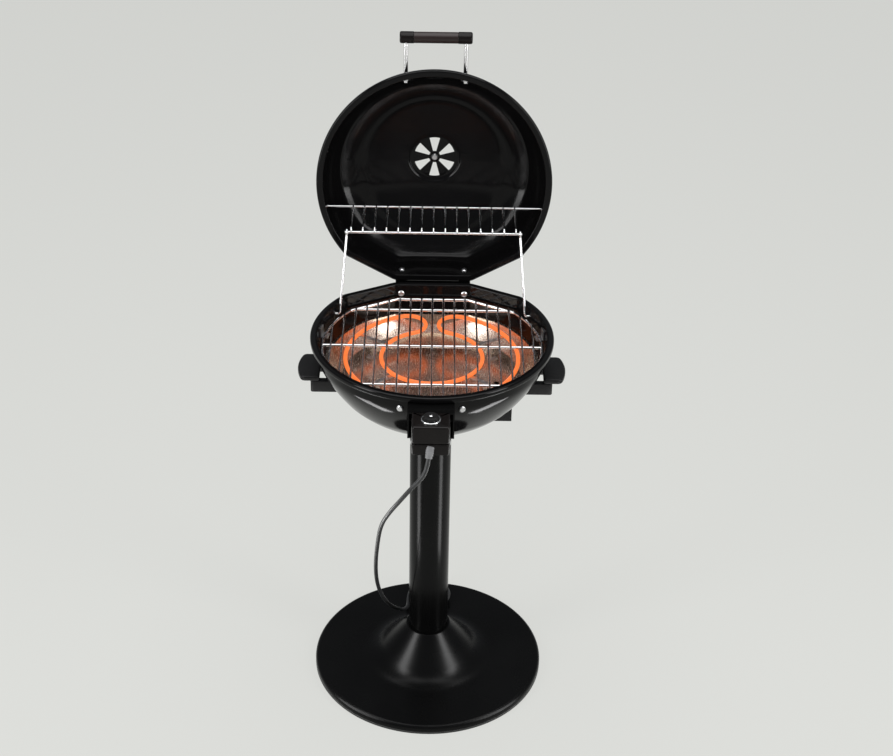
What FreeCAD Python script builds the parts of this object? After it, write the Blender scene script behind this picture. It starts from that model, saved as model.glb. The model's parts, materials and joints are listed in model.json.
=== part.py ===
import FreeCAD, Part
import math
import os

import Sketcher
from FreeCAD import Placement, Rotation, Vector

# A free-standing electric grill: a round base and pole carry a shallow bowl with a hinged lid,
# a warming rack on a parallel linkage, a heating element and a plug-in thermostat with its lead.
# Millimetres, +Z up, the floor under the middle of the base is the origin, the front faces -Y.

SIZES = (
    ("rim_height", 700.0, "top of the bowl's rim above the floor"),
    ("rim_radius", 203.0, "outside of the rim flange at the front"),
    ("flange_reach", 10.0, "how far the rim flange stands out from the wall"),
    ("flange_thick", 10.0, "height of the rolled rim flange"),
    ("shell_wall", 1.5, "sheet of the bowl and the lid"),
    ("rear_inset", 24.0, "flat rear edge of the rim inside the circle of its round front"),
    ("slant_inset", 13.5, "slanting rear sides of the rim inside that circle"),
    ("slant_angle", 28.0, "turn of the slanting sides from the rear edge, degrees"),
    ("shoulder_round", 20.0, "corner between the round front and the slanting side"),
    ("rear_round", 24.0, "corner between the slanting side and the rear edge"),
    ("sphere_over", 6.0, "outside radius of the pressed bowl over the rim's"),
    ("sphere_lift", 45.0, "middle of that sphere above the rim"),
    ("bowl_flat", 3.0, "depth cut flat from the bottom of the bowl"),
    ("lid_gap", 1.0, "space between the closed lid and the bowl's rim"),
    ("lid_depth", 108.0, "lid's rim to the top of its crown"),
    ("lid_side", 20.0, "straight part of the lid's wall"),
    ("crown_inset", 81.0, "ring where the lid's shoulder meets the crown, inside the rim's circle"),
    ("crown_side", 90.0, "height of that ring over the lid's rim"),
    ("open_angle", 95.5, "how far the open lid stands from closed, degrees"),
    ("vent_offset", 14.0, "vent ahead of the middle of the lid"),
    ("vent_radius", 36.0, "outer end of the vent slots"),
    ("vent_hub", 10.0, "inner end of the vent slots"),
    ("vent_slot", 30.0, "width of a vent slot, degrees"),
    ("vent_seat", 46.0, "raised round seat of the vent"),
    ("damper_radius", 41.0, "damper disc"),
    ("damper_thick", 1.4, "damper disc"),
    ("rivet_radius", 6.2, "head of the vent rivet"),
    ("hinge_back", 5.6, "hinge axis behind the rim's rear edge"),
    ("hinge_drop", 14.5, "hinge axis below the joint between the rims"),
    ("hinge_half", 66.0, "half the length of the hinge leaves"),
    ("knuckle_radius", 5.0, "hinge knuckles"),
    ("pin_radius", 2.0, "hinge pin"),
    ("leaf_thick", 2.5, "hinge leaves"),
    ("leaf_tall", 25.0, "hinge leaves on the walls"),
    ("leaf_arm", 4.0, "space between the lid's rim and its leaf's arm"),
    ("hinge_screw_x", 55.0, "hinge screws from the middle"),
    ("screw_radius", 2.4, "shanks of the assembly screws"),
    ("screw_head", 5.5, "heads of the assembly screws"),
    ("screw_head_tall", 2.6, "heads of the assembly screws"),
    ("fit_gap", 0.15, "clearance of a pin or screw in its hole"),
    ("seat_gap", 0.2, "clearance between seated curved pieces"),
    ("turn_gap", 0.4, "clearance between moving pieces"),
    ("post_half", 50.5, "lid handle posts from the middle"),
    ("post_radius", 4.0, "lid handle posts"),
    ("post_lift", 26.0, "lid handle posts above the lid's rim"),
    ("grip_radius", 9.5, "lid handle grip"),
    ("grip_half", 37.0, "half the length of the lid handle grip"),
    ("grip_space", 56.0, "finger space between the lid and the grip"),
    ("cap_thick", 24.0, "length of the grip's end caps, which sit on the posts"),
    ("cap_round", 3.0, "eased outer end of those caps"),
    ("base_radius", 208.0, "outside of the base"),
    ("base_top", 17.0, "top of the base disc"),
    ("base_sheet", 2.5, "wall of the base"),
    ("base_ring_tall", 5.0, "rubber ring under the base's edge"),
    ("base_ring_wide", 7.0, "rubber ring under the base's edge"),
    ("hub_top", 86.0, "top of the flared hub"),
    ("hub_foot", 98.0, "radius where the hub meets the disc"),
    ("hub_lip", 4.0, "rim of the hub round the pole"),
    ("bridge_radius", 118.0, "plate under the hub"),
    ("bridge_thick", 3.0, "plate under the hub"),
    ("pole_radius", 35.5, "outside of the pole"),
    ("pole_wall", 1.6, "wall of the pole"),
    ("foot_tall", 12.0, "plug in the lower end of the pole"),
    ("bolt_radius", 5.0, "bolt that holds the pole"),
    ("bolt_head", 9.8, "corner radius of that bolt's hexagon head"),
    ("bolt_head_tall", 5.0, "that bolt's head"),
    ("washer_radius", 12.0, "washer of that bolt"),
    ("washer_thick", 1.6, "washer of that bolt"),
    ("collar_radius", 46.0, "flange under the bowl"),
    ("collar_thick", 14.0, "flange under the bowl"),
    ("collar_pad", 5.0, "raised seat of the bowl on the flange"),
    ("collar_sleeve", 50.0, "sleeve of the collar inside the pole"),
    ("sleeve_wall", 4.0, "sleeve of the collar inside the pole"),
    ("collar_screw_drop", 27.0, "pole screws below the flange"),
    ("bowl_screw_ring", 22.0, "screws in the bottom of the bowl, from the middle"),
    ("handle_top", 64.0, "side handle's top below the rim"),
    ("handle_reach", 22.0, "outer edge of the side handle beyond the rim"),
    ("handle_deep", 38.0, "grip of the side handle from its outer to its inner edge"),
    ("handle_half", 38.0, "half the length of the side handle"),
    ("handle_thick", 9.0, "grip of the side handle"),
    ("handle_bow", 95.0, "radius of the bowed outer edge of the side handle"),
    ("arm_wide", 12.0, "arms of the side handle"),
    ("arm_tall", 30.0, "arms of the side handle"),
    ("arm_inset", 23.0, "arms of the side handle inside its outer edge"),
    ("grate_drop", 25.0, "middle of the grate's ring below the rim"),
    ("grate_inset", 19.0, "grate's ring inside the outside of the rim"),
    ("grate_ring", 2.75, "radius of the grate's ring wire"),
    ("grate_bar", 1.75, "radius of the grate's bars"),
    ("grate_cross", 2.4, "radius of the grate's cross wires"),
    ("grate_pitch", 18.8, "spacing of the grate's bars"),
    ("grate_cross_inset", 62.0, "outer cross wires inside the grate's ring"),
    ("weld_depth", 0.9, "how far crossing wires are pressed together"),
    ("rest_wide", 16.0, "tabs that carry the grate"),
    ("rest_thick", 1.5, "tabs that carry the grate"),
    ("rest_tall", 17.0, "tabs that carry the grate"),
    ("element_drop", 45.0, "middle of the heating element below the rim"),
    ("element_radius", 3.5, "sheath of the heating element"),
    ("element_inset", 58.0, "outer loop of the heating element inside the rim's circle"),
    ("element_gap", 60.0, "inner loop of the heating element inside the outer one"),
    ("element_turn", 69.0, "where the loops turn back, degrees from the side"),
    ("lead_half", 15.0, "element leads from the middle"),
    ("lead_bend", 20.0, "bend between lead and outer loop"),
    ("lead_past", 1.0, "front end of the element leads beyond the bowl's wall"),
    ("stand_wide", 8.0, "strips that carry the element"),
    ("stand_thick", 1.5, "strips that carry the element"),
    ("bush_radius", 7.0, "ceramic bushes round the leads"),
    ("bush_long", 16.0, "ceramic bushes round the leads"),
    ("pan_gap", 5.0, "reflector pan inside the bowl"),
    ("pan_sheet", 0.8, "sheet of the reflector pan"),
    ("pan_floor", 88.0, "floor of the pan below the rim"),
    ("pan_lip", 55.0, "lip of the pan below the rim"),
    ("shroud_half", 37.0, "half the width of the terminal shroud"),
    ("shroud_reach", 23.0, "front of the terminal shroud beyond the rim"),
    ("shroud_drop", 1.0, "top of the terminal shroud below the rim band"),
    ("shroud_tall", 48.0, "height of the terminal shroud"),
    ("shroud_wall", 2.5, "wall of the terminal shroud"),
    ("bracket_half", 60.0, "half the width of the bracket inside the bowl"),
    ("bracket_tall", 12.0, "bracket inside the bowl"),
    ("bracket_thick", 2.0, "bracket inside the bowl"),
    ("front_bolt_x", 49.0, "bolts of that bracket from the middle"),
    ("front_bolt_drop", 28.5, "bolts of that bracket below the rim"),
    ("contact_radius", 2.6, "terminal pins"),
    ("contact_long", 40.0, "terminal pins"),
    ("control_half", 30.0, "half the width of the control"),
    ("control_long", 44.0, "control's case ahead of the shroud"),
    ("control_drop", 10.0, "top of the control below the rim"),
    ("control_tall", 52.0, "height of the control"),
    ("control_split", 20.0, "joint between the case halves above the bottom"),
    ("control_round", 6.0, "upright edges of the control"),
    ("nose_deep", 12.0, "how far the control's nose enters the shroud"),
    ("probe_radius", 3.0, "thermostat probe"),
    ("probe_inset", 53.0, "inner end of the probe inside the rim's circle"),
    ("dial_back", 22.0, "dial behind the control's front"),
    ("dial_radius", 13.0, "dial knob"),
    ("dial_tall", 8.5, "dial knob"),
    ("bezel_wide", 2.2, "silver ring round the dial"),
    ("bezel_tall", 3.0, "silver ring round the dial"),
    ("dial_shaft", 3.0, "shaft of the dial"),
    ("relief_long", 20.0, "strain relief"),
    ("relief_top", 8.0, "upper radius of the strain relief"),
    ("relief_end", 5.5, "lower radius of the strain relief"),
    ("relief_height", 15.0, "strain relief's root above the control's bottom"),
    ("relief_tilt", 25.0, "strain relief forward of straight down, degrees"),
    ("relief_lean", 8.0, "strain relief to the left of straight down, degrees"),
    ("cord_radius", 3.5, "lead"),
    ("coil_radius", 35.0, "middle of the coil's turns"),
    ("coil_step", 7.7, "turn to turn and layer to layer"),
    ("coil_back", 152.0, "middle of the coil behind the pole's middle"),
    ("tie_thick", 1.2, "strap round the coil"),
    ("tie_wide", 12.0, "strap round the coil"),
    ("plug_radius", 11.0, "half the thickness of the plug"),
    ("plug_wide", 13.0, "half the width of the plug"),
    ("plug_long", 36.0, "body of the plug"),
    ("blade_long", 17.0, "plug's blades"),
    ("blade_half", 6.35, "plug's blades from the middle"),
    ("blade_wide", 6.3, "plug's blades"),
    ("blade_thick", 1.5, "plug's blades"),
    ("cup_in", 84.0, "inner side of the grease cup"),
    ("cup_out", 136.0, "outer side of the grease cup"),
    ("cup_half", 24.0, "half the grease cup's depth"),
    ("cup_ahead", 12.0, "grease cup ahead of the middle"),
    ("cup_lift", 13.0, "bottom of the grease cup above the bottom of the bowl"),
    ("cup_wall", 2.2, "wall of the grease cup"),
    ("rack_reach", 136.5, "rack's rear rod ahead of the hinge on the closed lid"),
    ("rack_lift", 34.5, "rack's rear rod above the hinge on the closed lid"),
    ("link_y", 88.8, "front bar ahead of the rear rod, and leg pivot ahead of the hinge"),
    ("link_z", 4.5, "front bar below the rear rod, and leg pivot below the hinge"),
    ("rod_radius", 2.0, "rods and legs of the rack"),
    ("rod_past", 1.0, "ends of the rack's rear rod beyond the lid's wall"),
    ("bar_past", 4.0, "ends of the rack's front bar beyond the legs' eyes"),
    ("wire_radius", 1.5, "wires of the rack"),
    ("wire_pitch", 20.0, "spacing of the rack's wires"),
    ("wire_bend", 5.0, "bend at the front of the rack's wires"),
    ("leg_inset", 10.5, "leg's shank inside the end of its foot"),
    ("leg_lean", 12.0, "leg's eye inside its shank's lower end"),
)
VENT_SLOTS = 6
COLLAR_SCREWS = 3
BOWL_SCREWS = 4

# The lead's free stretch from the strain relief past the left of the pole to the coil on the base.
LEAD_ROUTE = (
    (-12.0, -283.0, 605.0),
    (-28.0, -281.0, 585.0),
    (-46.0, -275.0, 556.0),
    (-64.0, -258.0, 520.0),
    (-79.0, -230.0, 474.0),
    (-86.0, -188.0, 405.0),
    (-91.0, -141.0, 330.0),
    (-92.0, -93.0, 258.0),
    (-88.0, -45.0, 192.0),
    (-80.0, -2.0, 137.0),
    (-70.0, 33.0, 95.0),
    (-58.0, 61.0, 66.0),
    (-48.0, 82.0, 46.0),
    (-41.0, 112.0, 27.0),
)

doc = FreeCAD.newDocument("electric_grill")
sheet = doc.addObject("Spreadsheet::Sheet", "dims")
for row, (alias, number, meaning) in enumerate(SIZES, 1):
    sheet.set("A%d" % row, meaning)
    sheet.set("B%d" % row, str(number))
    sheet.setAlias("B%d" % row, alias)
doc.recompute()


def written(size):
    """The text of a size in an expression."""
    return size.text if isinstance(size, Size) else repr(float(size))


class Size:
    """A cell of the sheet, or a sum of cells: its number, and the text that binds it to the sheet."""

    def __init__(self, number, text):
        self.number = float(number)
        self.text = text

    def __float__(self):
        return self.number

    def __add__(self, other):
        return Size(self.number + float(other), "(%s + %s)" % (self.text, written(other)))

    def __radd__(self, other):
        return Size(float(other) + self.number, "(%s + %s)" % (written(other), self.text))

    def __sub__(self, other):
        return Size(self.number - float(other), "(%s - %s)" % (self.text, written(other)))

    def __rsub__(self, other):
        return Size(float(other) - self.number, "(%s - %s)" % (written(other), self.text))

    def __mul__(self, other):
        return Size(self.number * float(other), "(%s * %s)" % (self.text, written(other)))

    def __rmul__(self, other):
        return Size(float(other) * self.number, "(%s * %s)" % (written(other), self.text))

    def __truediv__(self, other):
        return Size(self.number / float(other), "(%s / %s)" % (self.text, written(other)))

    def __neg__(self):
        return Size(-self.number, "(0 - %s)" % self.text)


class Sheet:
    """Every cell of the sheet by its name."""


d = Sheet()
for alias, number, meaning in SIZES:
    setattr(d, alias, Size(sheet.get(alias), "dims." + alias))

# Places that several pieces share.
rear_flat = d.rim_radius - d.rear_inset
slant_reach = d.rim_radius - d.slant_inset
bowl_sphere = d.rim_radius + d.sphere_over
crown_radius = d.rim_radius - d.crown_inset
bowl_bottom = d.rim_height + d.sphere_lift - bowl_sphere + d.bowl_flat
sphere_middle = d.rim_height + d.sphere_lift
bridge_top = d.base_top - d.base_sheet
collar_top = bowl_bottom - d.collar_pad
collar_foot = collar_top - d.collar_thick
wall_radius = d.rim_radius - d.flange_reach
handle_out = d.rim_radius + d.handle_reach
handle_in = handle_out - d.handle_deep
arm_out = handle_out - d.arm_inset
element_outer = d.rim_radius - d.element_inset
element_inner = element_outer - d.element_gap
lead_end = wall_radius + d.lead_past
shroud_front = d.rim_radius + d.shroud_reach
control_front = shroud_front + d.control_long
probe_tip = d.rim_radius - d.probe_inset
cup_z = bowl_bottom + d.cup_lift
rear_wall = rear_flat - d.flange_reach
lid_foot = d.rim_height + d.lid_gap
hinge_y = rear_flat + d.hinge_back
hinge_z = d.rim_height + d.lid_gap / 2 - d.hinge_drop
element_z = d.rim_height - d.element_drop
grate_z = d.rim_height - d.grate_drop
control_top = d.rim_height - d.control_drop
control_bottom = control_top - d.control_tall
dial_y = d.dial_back - control_front
pivot_y = hinge_y - d.link_y
pivot_z = hinge_z - d.link_z


def bind(thing, prop, size):
    """Ties a property to the sheet, or sets it where the size is a plain number."""
    if isinstance(size, Size):
        thing.setExpression(prop, size.text)
    else:
        setattr(thing, prop, float(size))


def seat(thing, x=0, y=0, z=0, turn=None):
    """Puts a piece at x, y, z, tied to the sheet, with a turn of its own."""
    thing.Placement = Placement(Vector(float(x), float(y), float(z)), turn or Rotation())
    for axis, size in zip("xyz", (x, y, z)):
        if isinstance(size, Size):
            thing.setExpression("Placement.Base." + axis, size.text)
    return thing


ALONG = {
    "x": Rotation(Vector(0, 1, 0), 90),
    "y": Rotation(Vector(1, 0, 0), -90),
    "z": Rotation(),
}


def box(name, width, depth, height, x, y, z):
    """A block with its lowest corner at x, y, z."""
    block = doc.addObject("Part::Box", name)
    bind(block, "Length", width)
    bind(block, "Width", depth)
    bind(block, "Height", height)
    return seat(block, x, y, z)


def rod(name, radius, length, x, y, z, along="z"):
    """A round rod that starts at x, y, z and runs along an axis, or along a Rotation of Z."""
    bar = doc.addObject("Part::Cylinder", name)
    bind(bar, "Radius", radius)
    bind(bar, "Height", length)
    return seat(bar, x, y, z, ALONG.get(along, along) if isinstance(along, str) else along)


def ball(name, radius, z):
    """A sphere on the pole's axis."""
    whole = doc.addObject("Part::Sphere", name)
    bind(whole, "Radius", radius)
    return seat(whole, 0, 0, z)


def together(name, pieces):
    """Separate solids under one name."""
    group = doc.addObject("Part::Compound", name)
    group.Links = list(pieces)
    return group


def fuse(name, pieces):
    """Pieces made one."""
    joined = doc.addObject("Part::MultiFuse", name)
    joined.Shapes = list(pieces)
    joined.Refine = True
    return joined


def cut(name, base, tools):
    """A piece with the tools taken out of it."""
    remainder = doc.addObject("Part::Cut", name)
    remainder.Base = base
    remainder.Tool = tools[0] if len(tools) == 1 else together(name + "_tools", tools)
    return remainder


def common(name, first, second):
    """What two pieces share."""
    shared = doc.addObject("Part::Common", name)
    shared.Base = first
    shared.Tool = second
    return shared


def made(name, shape):
    """A piece whose shape is worked out here from the sheet's numbers."""
    piece = doc.addObject("Part::Feature", name)
    piece.Shape = shape
    return piece


def plane_of(body, role):
    """One of a body's own origin planes."""
    return next(feature for feature in body.Origin.OriginFeatures if feature.Role == role)


def profile(body, name, role, corners):
    """A closed sketch through corners, each tied to the sheet by its two distances from the origin."""
    sketch = body.newObject("Sketcher::SketchObject", name)
    sketch.AttachmentSupport = [(plane_of(body, role), "")]
    sketch.MapMode = "FlatFace"
    points = [Vector(float(x), float(y), 0) for x, y in corners]
    count = len(points)
    sketch.addGeometry([Part.LineSegment(points[i], points[(i + 1) % count]) for i in range(count)], False)
    for i in range(count):
        sketch.addConstraint(Sketcher.Constraint("Coincident", i, 2, (i + 1) % count, 1))
    for i, corner in enumerate(corners):
        for kind, axis, size in zip(("DistanceX", "DistanceY"), (-2, -1), corner):
            if isinstance(size, Size):
                index = sketch.addConstraint(Sketcher.Constraint(kind, -1, 1, i, 1, float(size)))
                sketch.setExpression("Constraints[%d]" % index, size.text)
            elif size == 0:
                sketch.addConstraint(Sketcher.Constraint("PointOnObject", i, 1, axis))
            else:
                sketch.addConstraint(Sketcher.Constraint(kind, -1, 1, i, 1, float(size)))
    return sketch


def turned(name, corners):
    """A body turned about Z from an outline of corners, each a radius and a height."""
    body = doc.addObject("PartDesign::Body", name)
    sketch = profile(body, name + "_profile", "XZ_Plane", corners)
    feature = body.newObject("PartDesign::Revolution", name + "_turn")
    feature.Profile = sketch
    feature.ReferenceAxis = (sketch, ["V_Axis"])
    feature.Angle = 360
    body.Tip = feature
    return body


def pushed(name, role, corners, length):
    """A body pushed out from an outline on one of its planes."""
    body = doc.addObject("PartDesign::Body", name)
    sketch = profile(body, name + "_profile", role, corners)
    feature = body.newObject("PartDesign::Pad", name + "_pad")
    feature.Profile = sketch
    bind(feature, "Length", length)
    body.Tip = feature
    return body


def softened(body, radius, wanted):
    """Rounds those edges of a body that the test picks."""
    doc.recompute()
    tip = body.Tip
    names = ["Edge%d" % n for n, edge in enumerate(tip.Shape.Edges, 1) if wanted(edge)]
    feature = body.newObject("PartDesign::Fillet", "%s_round%d" % (body.Name, len(body.Group)))
    feature.Base = (tip, names)
    bind(feature, "Radius", radius)
    body.Tip = feature
    return body


def ring_edge(radius, height):
    """Picks the round edge of a turned body at a radius and height."""
    def wanted(edge):
        curve = edge.Curve
        return (isinstance(curve, Part.Circle) and abs(curve.Radius - float(radius)) < 0.01
                and abs(curve.Center.z - float(height)) < 0.01)
    return wanted


def upright_edge(edge):
    """Picks the straight edges that run along Z."""
    if not isinstance(edge.Curve, Part.Line):
        return False
    return abs(abs(edge.Curve.Direction.z) - 1) < 1e-6


def screw(name, place, turn, shank, head=None):
    """A screw whose head sits below its place and whose shank runs up along the turned Z axis."""
    head_radius = head or d.screw_head
    body = turned(name, (
        (0, -d.screw_head_tall), (head_radius * 0.7, -d.screw_head_tall),
        (head_radius, -d.screw_head_tall * 0.45), (head_radius, 0),
        (d.screw_radius, 0), (d.screw_radius, shank), (0, shank)))
    return seat(body, place[0], place[1], place[2], turn)


def hole(name, place, turn, length, radius=None):
    """The clearance hole of such a screw, begun a little behind its seat."""
    bore = rod(name, (radius or d.screw_radius) + d.fit_gap, length * 2, 0, 0, 0)
    base = Vector(*[float(size) for size in place])
    bore.Placement = Placement(base - turn.multVec(Vector(0, 0, float(length))), turn)
    return bore


# Plan of the bowl and lid

def outline(inset):
    """The plan drawn in by inset: round front, slanting rear sides and flat rear edge, corners rounded."""
    inset = float(inset)
    front = float(d.rim_radius) - inset
    slant = float(slant_reach) - inset
    rear = float(rear_flat) - inset
    shoulder = max(float(d.shoulder_round) - inset, float(d.shell_wall))
    corner = max(float(d.rear_round) - inset, float(d.shell_wall))
    angle = math.radians(float(d.slant_angle))
    normal = Vector(math.sin(angle), math.cos(angle), 0)
    along = Vector(math.cos(angle), -math.sin(angle), 0)
    reach = math.sqrt((front - shoulder) ** 2 - (slant - shoulder) ** 2)
    bend = normal * (slant - shoulder) + along * reach
    outward = Vector(bend).normalize()
    corner_x = (slant - corner - (rear - corner) * math.cos(angle)) / math.sin(angle)
    turn = Vector(corner_x, rear - corner, 0)
    rear_end = Vector(corner_x, rear, 0)
    slant_start = turn + normal * corner
    slant_end = bend + normal * shoulder
    front_start = outward * front
    corner_mid = turn + (normal + Vector(0, 1, 0)).normalize() * corner
    bend_mid = bend + (normal + outward).normalize() * shoulder
    nose = Vector(0, -front, 0)
    cheek = (outward + Vector(0, -1, 0)).normalize() * front
    right = [
        Part.Arc(rear_end, corner_mid, slant_start),
        Part.LineSegment(slant_start, slant_end),
        Part.Arc(slant_end, bend_mid, front_start),
        Part.Arc(front_start, cheek, nose),
    ]
    left = []
    for curve in reversed(right):
        ends = [Vector(-p.x, p.y, 0) for p in (curve.EndPoint, curve.StartPoint)]
        if isinstance(curve, Part.LineSegment):
            left.append(Part.LineSegment(*ends))
        else:
            middle = curve.value((curve.FirstParameter + curve.LastParameter) / 2)
            left.append(Part.Arc(ends[0], Vector(-middle.x, middle.y, 0), ends[1]))
    rear_line = Part.LineSegment(Vector(-corner_x, rear, 0), rear_end)
    return Part.Wire([curve.toShape() for curve in right + left + [rear_line]])


def prism(name, inset, bottom, height):
    """The plan, drawn in by inset, as an upright block."""
    plan = made(name + "_plan", outline(inset))
    block = doc.addObject("Part::Extrusion", name)
    block.Base = plan
    block.DirMode = "Custom"
    block.Dir = Vector(0, 0, 1)
    bind(block, "LengthFwd", height)
    block.Solid = True
    return seat(block, 0, 0, bottom)


def rear_reach(inset, x):
    """How far back the plan, drawn in by inset, reaches at x."""
    angle = math.radians(float(d.slant_angle))
    round_part = math.sqrt((float(d.rim_radius) - inset) ** 2 - x * x)
    slant_part = (float(slant_reach) - inset - abs(x) * math.sin(angle)) / math.cos(angle)
    return min(round_part, slant_part, float(rear_flat) - inset)


def sweep(edges, radius):
    """A round bar along a path of lines and arcs."""
    path = Part.Wire(edges)
    first = path.OrderedEdges[0]
    start = first.valueAt(first.FirstParameter)
    section = Part.Wire([Part.Circle(start, first.tangentAt(first.FirstParameter), float(radius)).toShape()])
    bar = path.makePipeShell([section], True, False)
    return bar


nodes = []


def node(label, piece, placement=None):
    """Names a finished sub-part and, where it rides on the open lid, puts it there."""
    piece.Label = label
    if placement is not None:
        piece.Placement = placement
    nodes.append((label, piece))
    return piece


def bolt_down(direction):
    """The rotation that turns Z to a direction."""
    return Rotation(Vector(0, 0, 1), Vector(*direction))


# Base: pressed disc with a flared hub, rubber edge, plate under the hub

base = turned("base_body", (
    (d.pole_radius + d.seat_gap, d.hub_top),
    (d.pole_radius + d.hub_lip, d.hub_top),
    (d.hub_foot, d.base_top),
    (d.base_radius, d.base_top),
    (d.base_radius, d.base_ring_tall),
    (d.base_radius - d.base_sheet, d.base_ring_tall),
    (d.base_radius - d.base_sheet, bridge_top),
    (d.hub_foot - d.base_sheet, bridge_top),
    (d.pole_radius + d.seat_gap, d.hub_top - d.base_sheet * 2)))
softened(base, d.base_sheet * 3, ring_edge(d.base_radius, d.base_top))
softened(base, d.hub_lip * 5, ring_edge(d.hub_foot, d.base_top))
node("base_plate", base)

node("base_ring", turned("base_ring_body", (
    (d.base_radius - d.base_ring_wide, 0), (d.base_radius - 1, 0), (d.base_radius, 1),
    (d.base_radius, d.base_ring_tall), (d.base_radius - d.base_ring_wide, d.base_ring_tall))))

node("base_bridge", turned("bridge_body", (
    (d.bolt_radius + d.fit_gap, bridge_top - d.bridge_thick), (d.bridge_radius, bridge_top - d.bridge_thick),
    (d.bridge_radius, bridge_top), (d.bolt_radius + d.fit_gap, bridge_top))))

# Pole: steel tube with a plug in its foot, bolted to the plate under the hub

collar_screw_z = collar_foot - d.collar_screw_drop
collar_turns = [bolt_down((math.sin(a), math.cos(a), 0)) for a in
                (math.radians(360 * n / COLLAR_SCREWS) for n in range(COLLAR_SCREWS))]
collar_places = [tuple(turn.multVec(Vector(0, 0, float(d.pole_radius + d.seat_gap))) +
                       Vector(0, 0, float(collar_screw_z))) for turn in collar_turns]
collar_depth = d.pole_wall + d.sleeve_wall + d.seat_gap * 2
collar_holes = [hole("collar_hole%d" % n, place, turn * Rotation(Vector(1, 0, 0), 180), collar_depth)
                for n, (place, turn) in enumerate(zip(collar_places, collar_turns))]
pole_body = turned("pole_body", (
    (d.pole_radius - d.pole_wall, bridge_top), (d.pole_radius, bridge_top),
    (d.pole_radius, collar_foot), (d.pole_radius - d.pole_wall, collar_foot)))
node("pole_tube", cut("pole_bored", pole_body, collar_holes))

bore_radius = d.pole_radius - d.pole_wall - d.seat_gap
node("pole_foot", turned("foot_body", (
    (d.bolt_radius + d.fit_gap, bridge_top), (bore_radius, bridge_top),
    (bore_radius, bridge_top + d.foot_tall), (d.bolt_radius + d.fit_gap, bridge_top + d.foot_tall))))

bolt_seat = bridge_top - d.bridge_thick - d.washer_thick
bolt_hex = doc.addObject("Part::Prism", "bolt_hex")
bolt_hex.Polygon = 6
bind(bolt_hex, "Circumradius", d.bolt_head)
bind(bolt_hex, "Height", d.bolt_head_tall)
seat(bolt_hex, 0, 0, bolt_seat - d.bolt_head_tall)
bolt_shank = rod("bolt_shank", d.bolt_radius, d.washer_thick + d.bridge_thick + d.foot_tall, 0, 0, bolt_seat)
node("pole_bolt", fuse("bolt_whole", [bolt_hex, bolt_shank]))
node("pole_washer", turned("washer_body", (
    (d.bolt_radius + d.fit_gap, bolt_seat), (d.washer_radius, bolt_seat),
    (d.washer_radius, bolt_seat + d.washer_thick), (d.bolt_radius + d.fit_gap, bolt_seat + d.washer_thick))))

# Collar: flange and sleeve that carry the bowl on the pole, with its screws

collar_body = turned("collar_body", (
    (0, bowl_bottom), (d.collar_radius - d.hub_lip * 2, bowl_bottom),
    (d.collar_radius - d.hub_lip * 2, collar_top), (d.collar_radius, collar_top),
    (d.collar_radius, collar_foot), (bore_radius, collar_foot),
    (bore_radius, collar_foot - d.collar_sleeve),
    (bore_radius - d.sleeve_wall, collar_foot - d.collar_sleeve),
    (bore_radius - d.sleeve_wall, collar_foot + d.sleeve_wall), (0, collar_foot + d.sleeve_wall)))
UP = Rotation()
DOWN = Rotation(Vector(1, 0, 0), 180)
bowl_screw_places = [(float(d.bowl_screw_ring) * math.cos(a), float(d.bowl_screw_ring) * math.sin(a),
                      float(bowl_bottom + d.shell_wall)) for a in
                     (math.radians(360 * (n + 0.5) / BOWL_SCREWS) for n in range(BOWL_SCREWS))]
bowl_screw_depth = d.shell_wall + d.collar_pad + d.collar_thick - d.sleeve_wall
bowl_screw_holes = [hole("bowl_screw_hole%d" % n, place, DOWN, bowl_screw_depth)
                    for n, place in enumerate(bowl_screw_places)]
node("bowl_collar", cut("collar_bored", collar_body, collar_holes + bowl_screw_holes))
node("collar_screws", together("collar_screw_set", [
    screw("collar_screw%d" % n, place, turn * DOWN, collar_depth)
    for n, (place, turn) in enumerate(zip(collar_places, collar_turns))]))
node("bowl_screws", together("bowl_screw_set", [
    screw("bowl_screw%d" % n, place, DOWN, bowl_screw_depth) for n, place in enumerate(bowl_screw_places)]))

# Screw places in the bowl's wall: hinge, side handles, inner bracket, leads and leg pivots

BACK = ALONG["y"]
leaf_top = d.rim_height - d.flange_thick - d.turn_gap
hinge_bowl_z = leaf_top - d.leaf_tall * 0.26
hinge_screw_depth = d.shell_wall + d.leaf_thick + d.screw_head_tall
hinge_bowl_places = [(side * d.hinge_screw_x, rear_wall - d.shell_wall, hinge_bowl_z) for side in (-1, 1)]
hinge_bowl_holes = [hole("hinge_bowl_hole%d" % n, place, BACK, hinge_screw_depth)
                    for n, place in enumerate(hinge_bowl_places)]

handle_top_z = d.rim_height - d.handle_top
arm_mid_y = float(d.handle_half - d.arm_wide / 2)
arm_mid_z = float(handle_top_z - d.arm_tall / 2)
arm_drop = float(sphere_middle) - arm_mid_z
arm_x = math.sqrt(float(bowl_sphere) ** 2 - arm_drop ** 2 - arm_mid_y ** 2)
handle_turns = [bolt_down((sx * arm_x, sy * arm_mid_y, -arm_drop)) for sx in (1, -1) for sy in (1, -1)]
handle_places = [tuple(turn.multVec(Vector(0, 0, float(bowl_sphere - d.shell_wall - d.seat_gap))) +
                       Vector(0, 0, float(sphere_middle))) for turn in handle_turns]
handle_screw_depth = d.shell_wall + d.arm_wide
handle_holes = [hole("handle_hole%d" % n, place, turn, handle_screw_depth)
                for n, (place, turn) in enumerate(zip(handle_places, handle_turns))]

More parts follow.
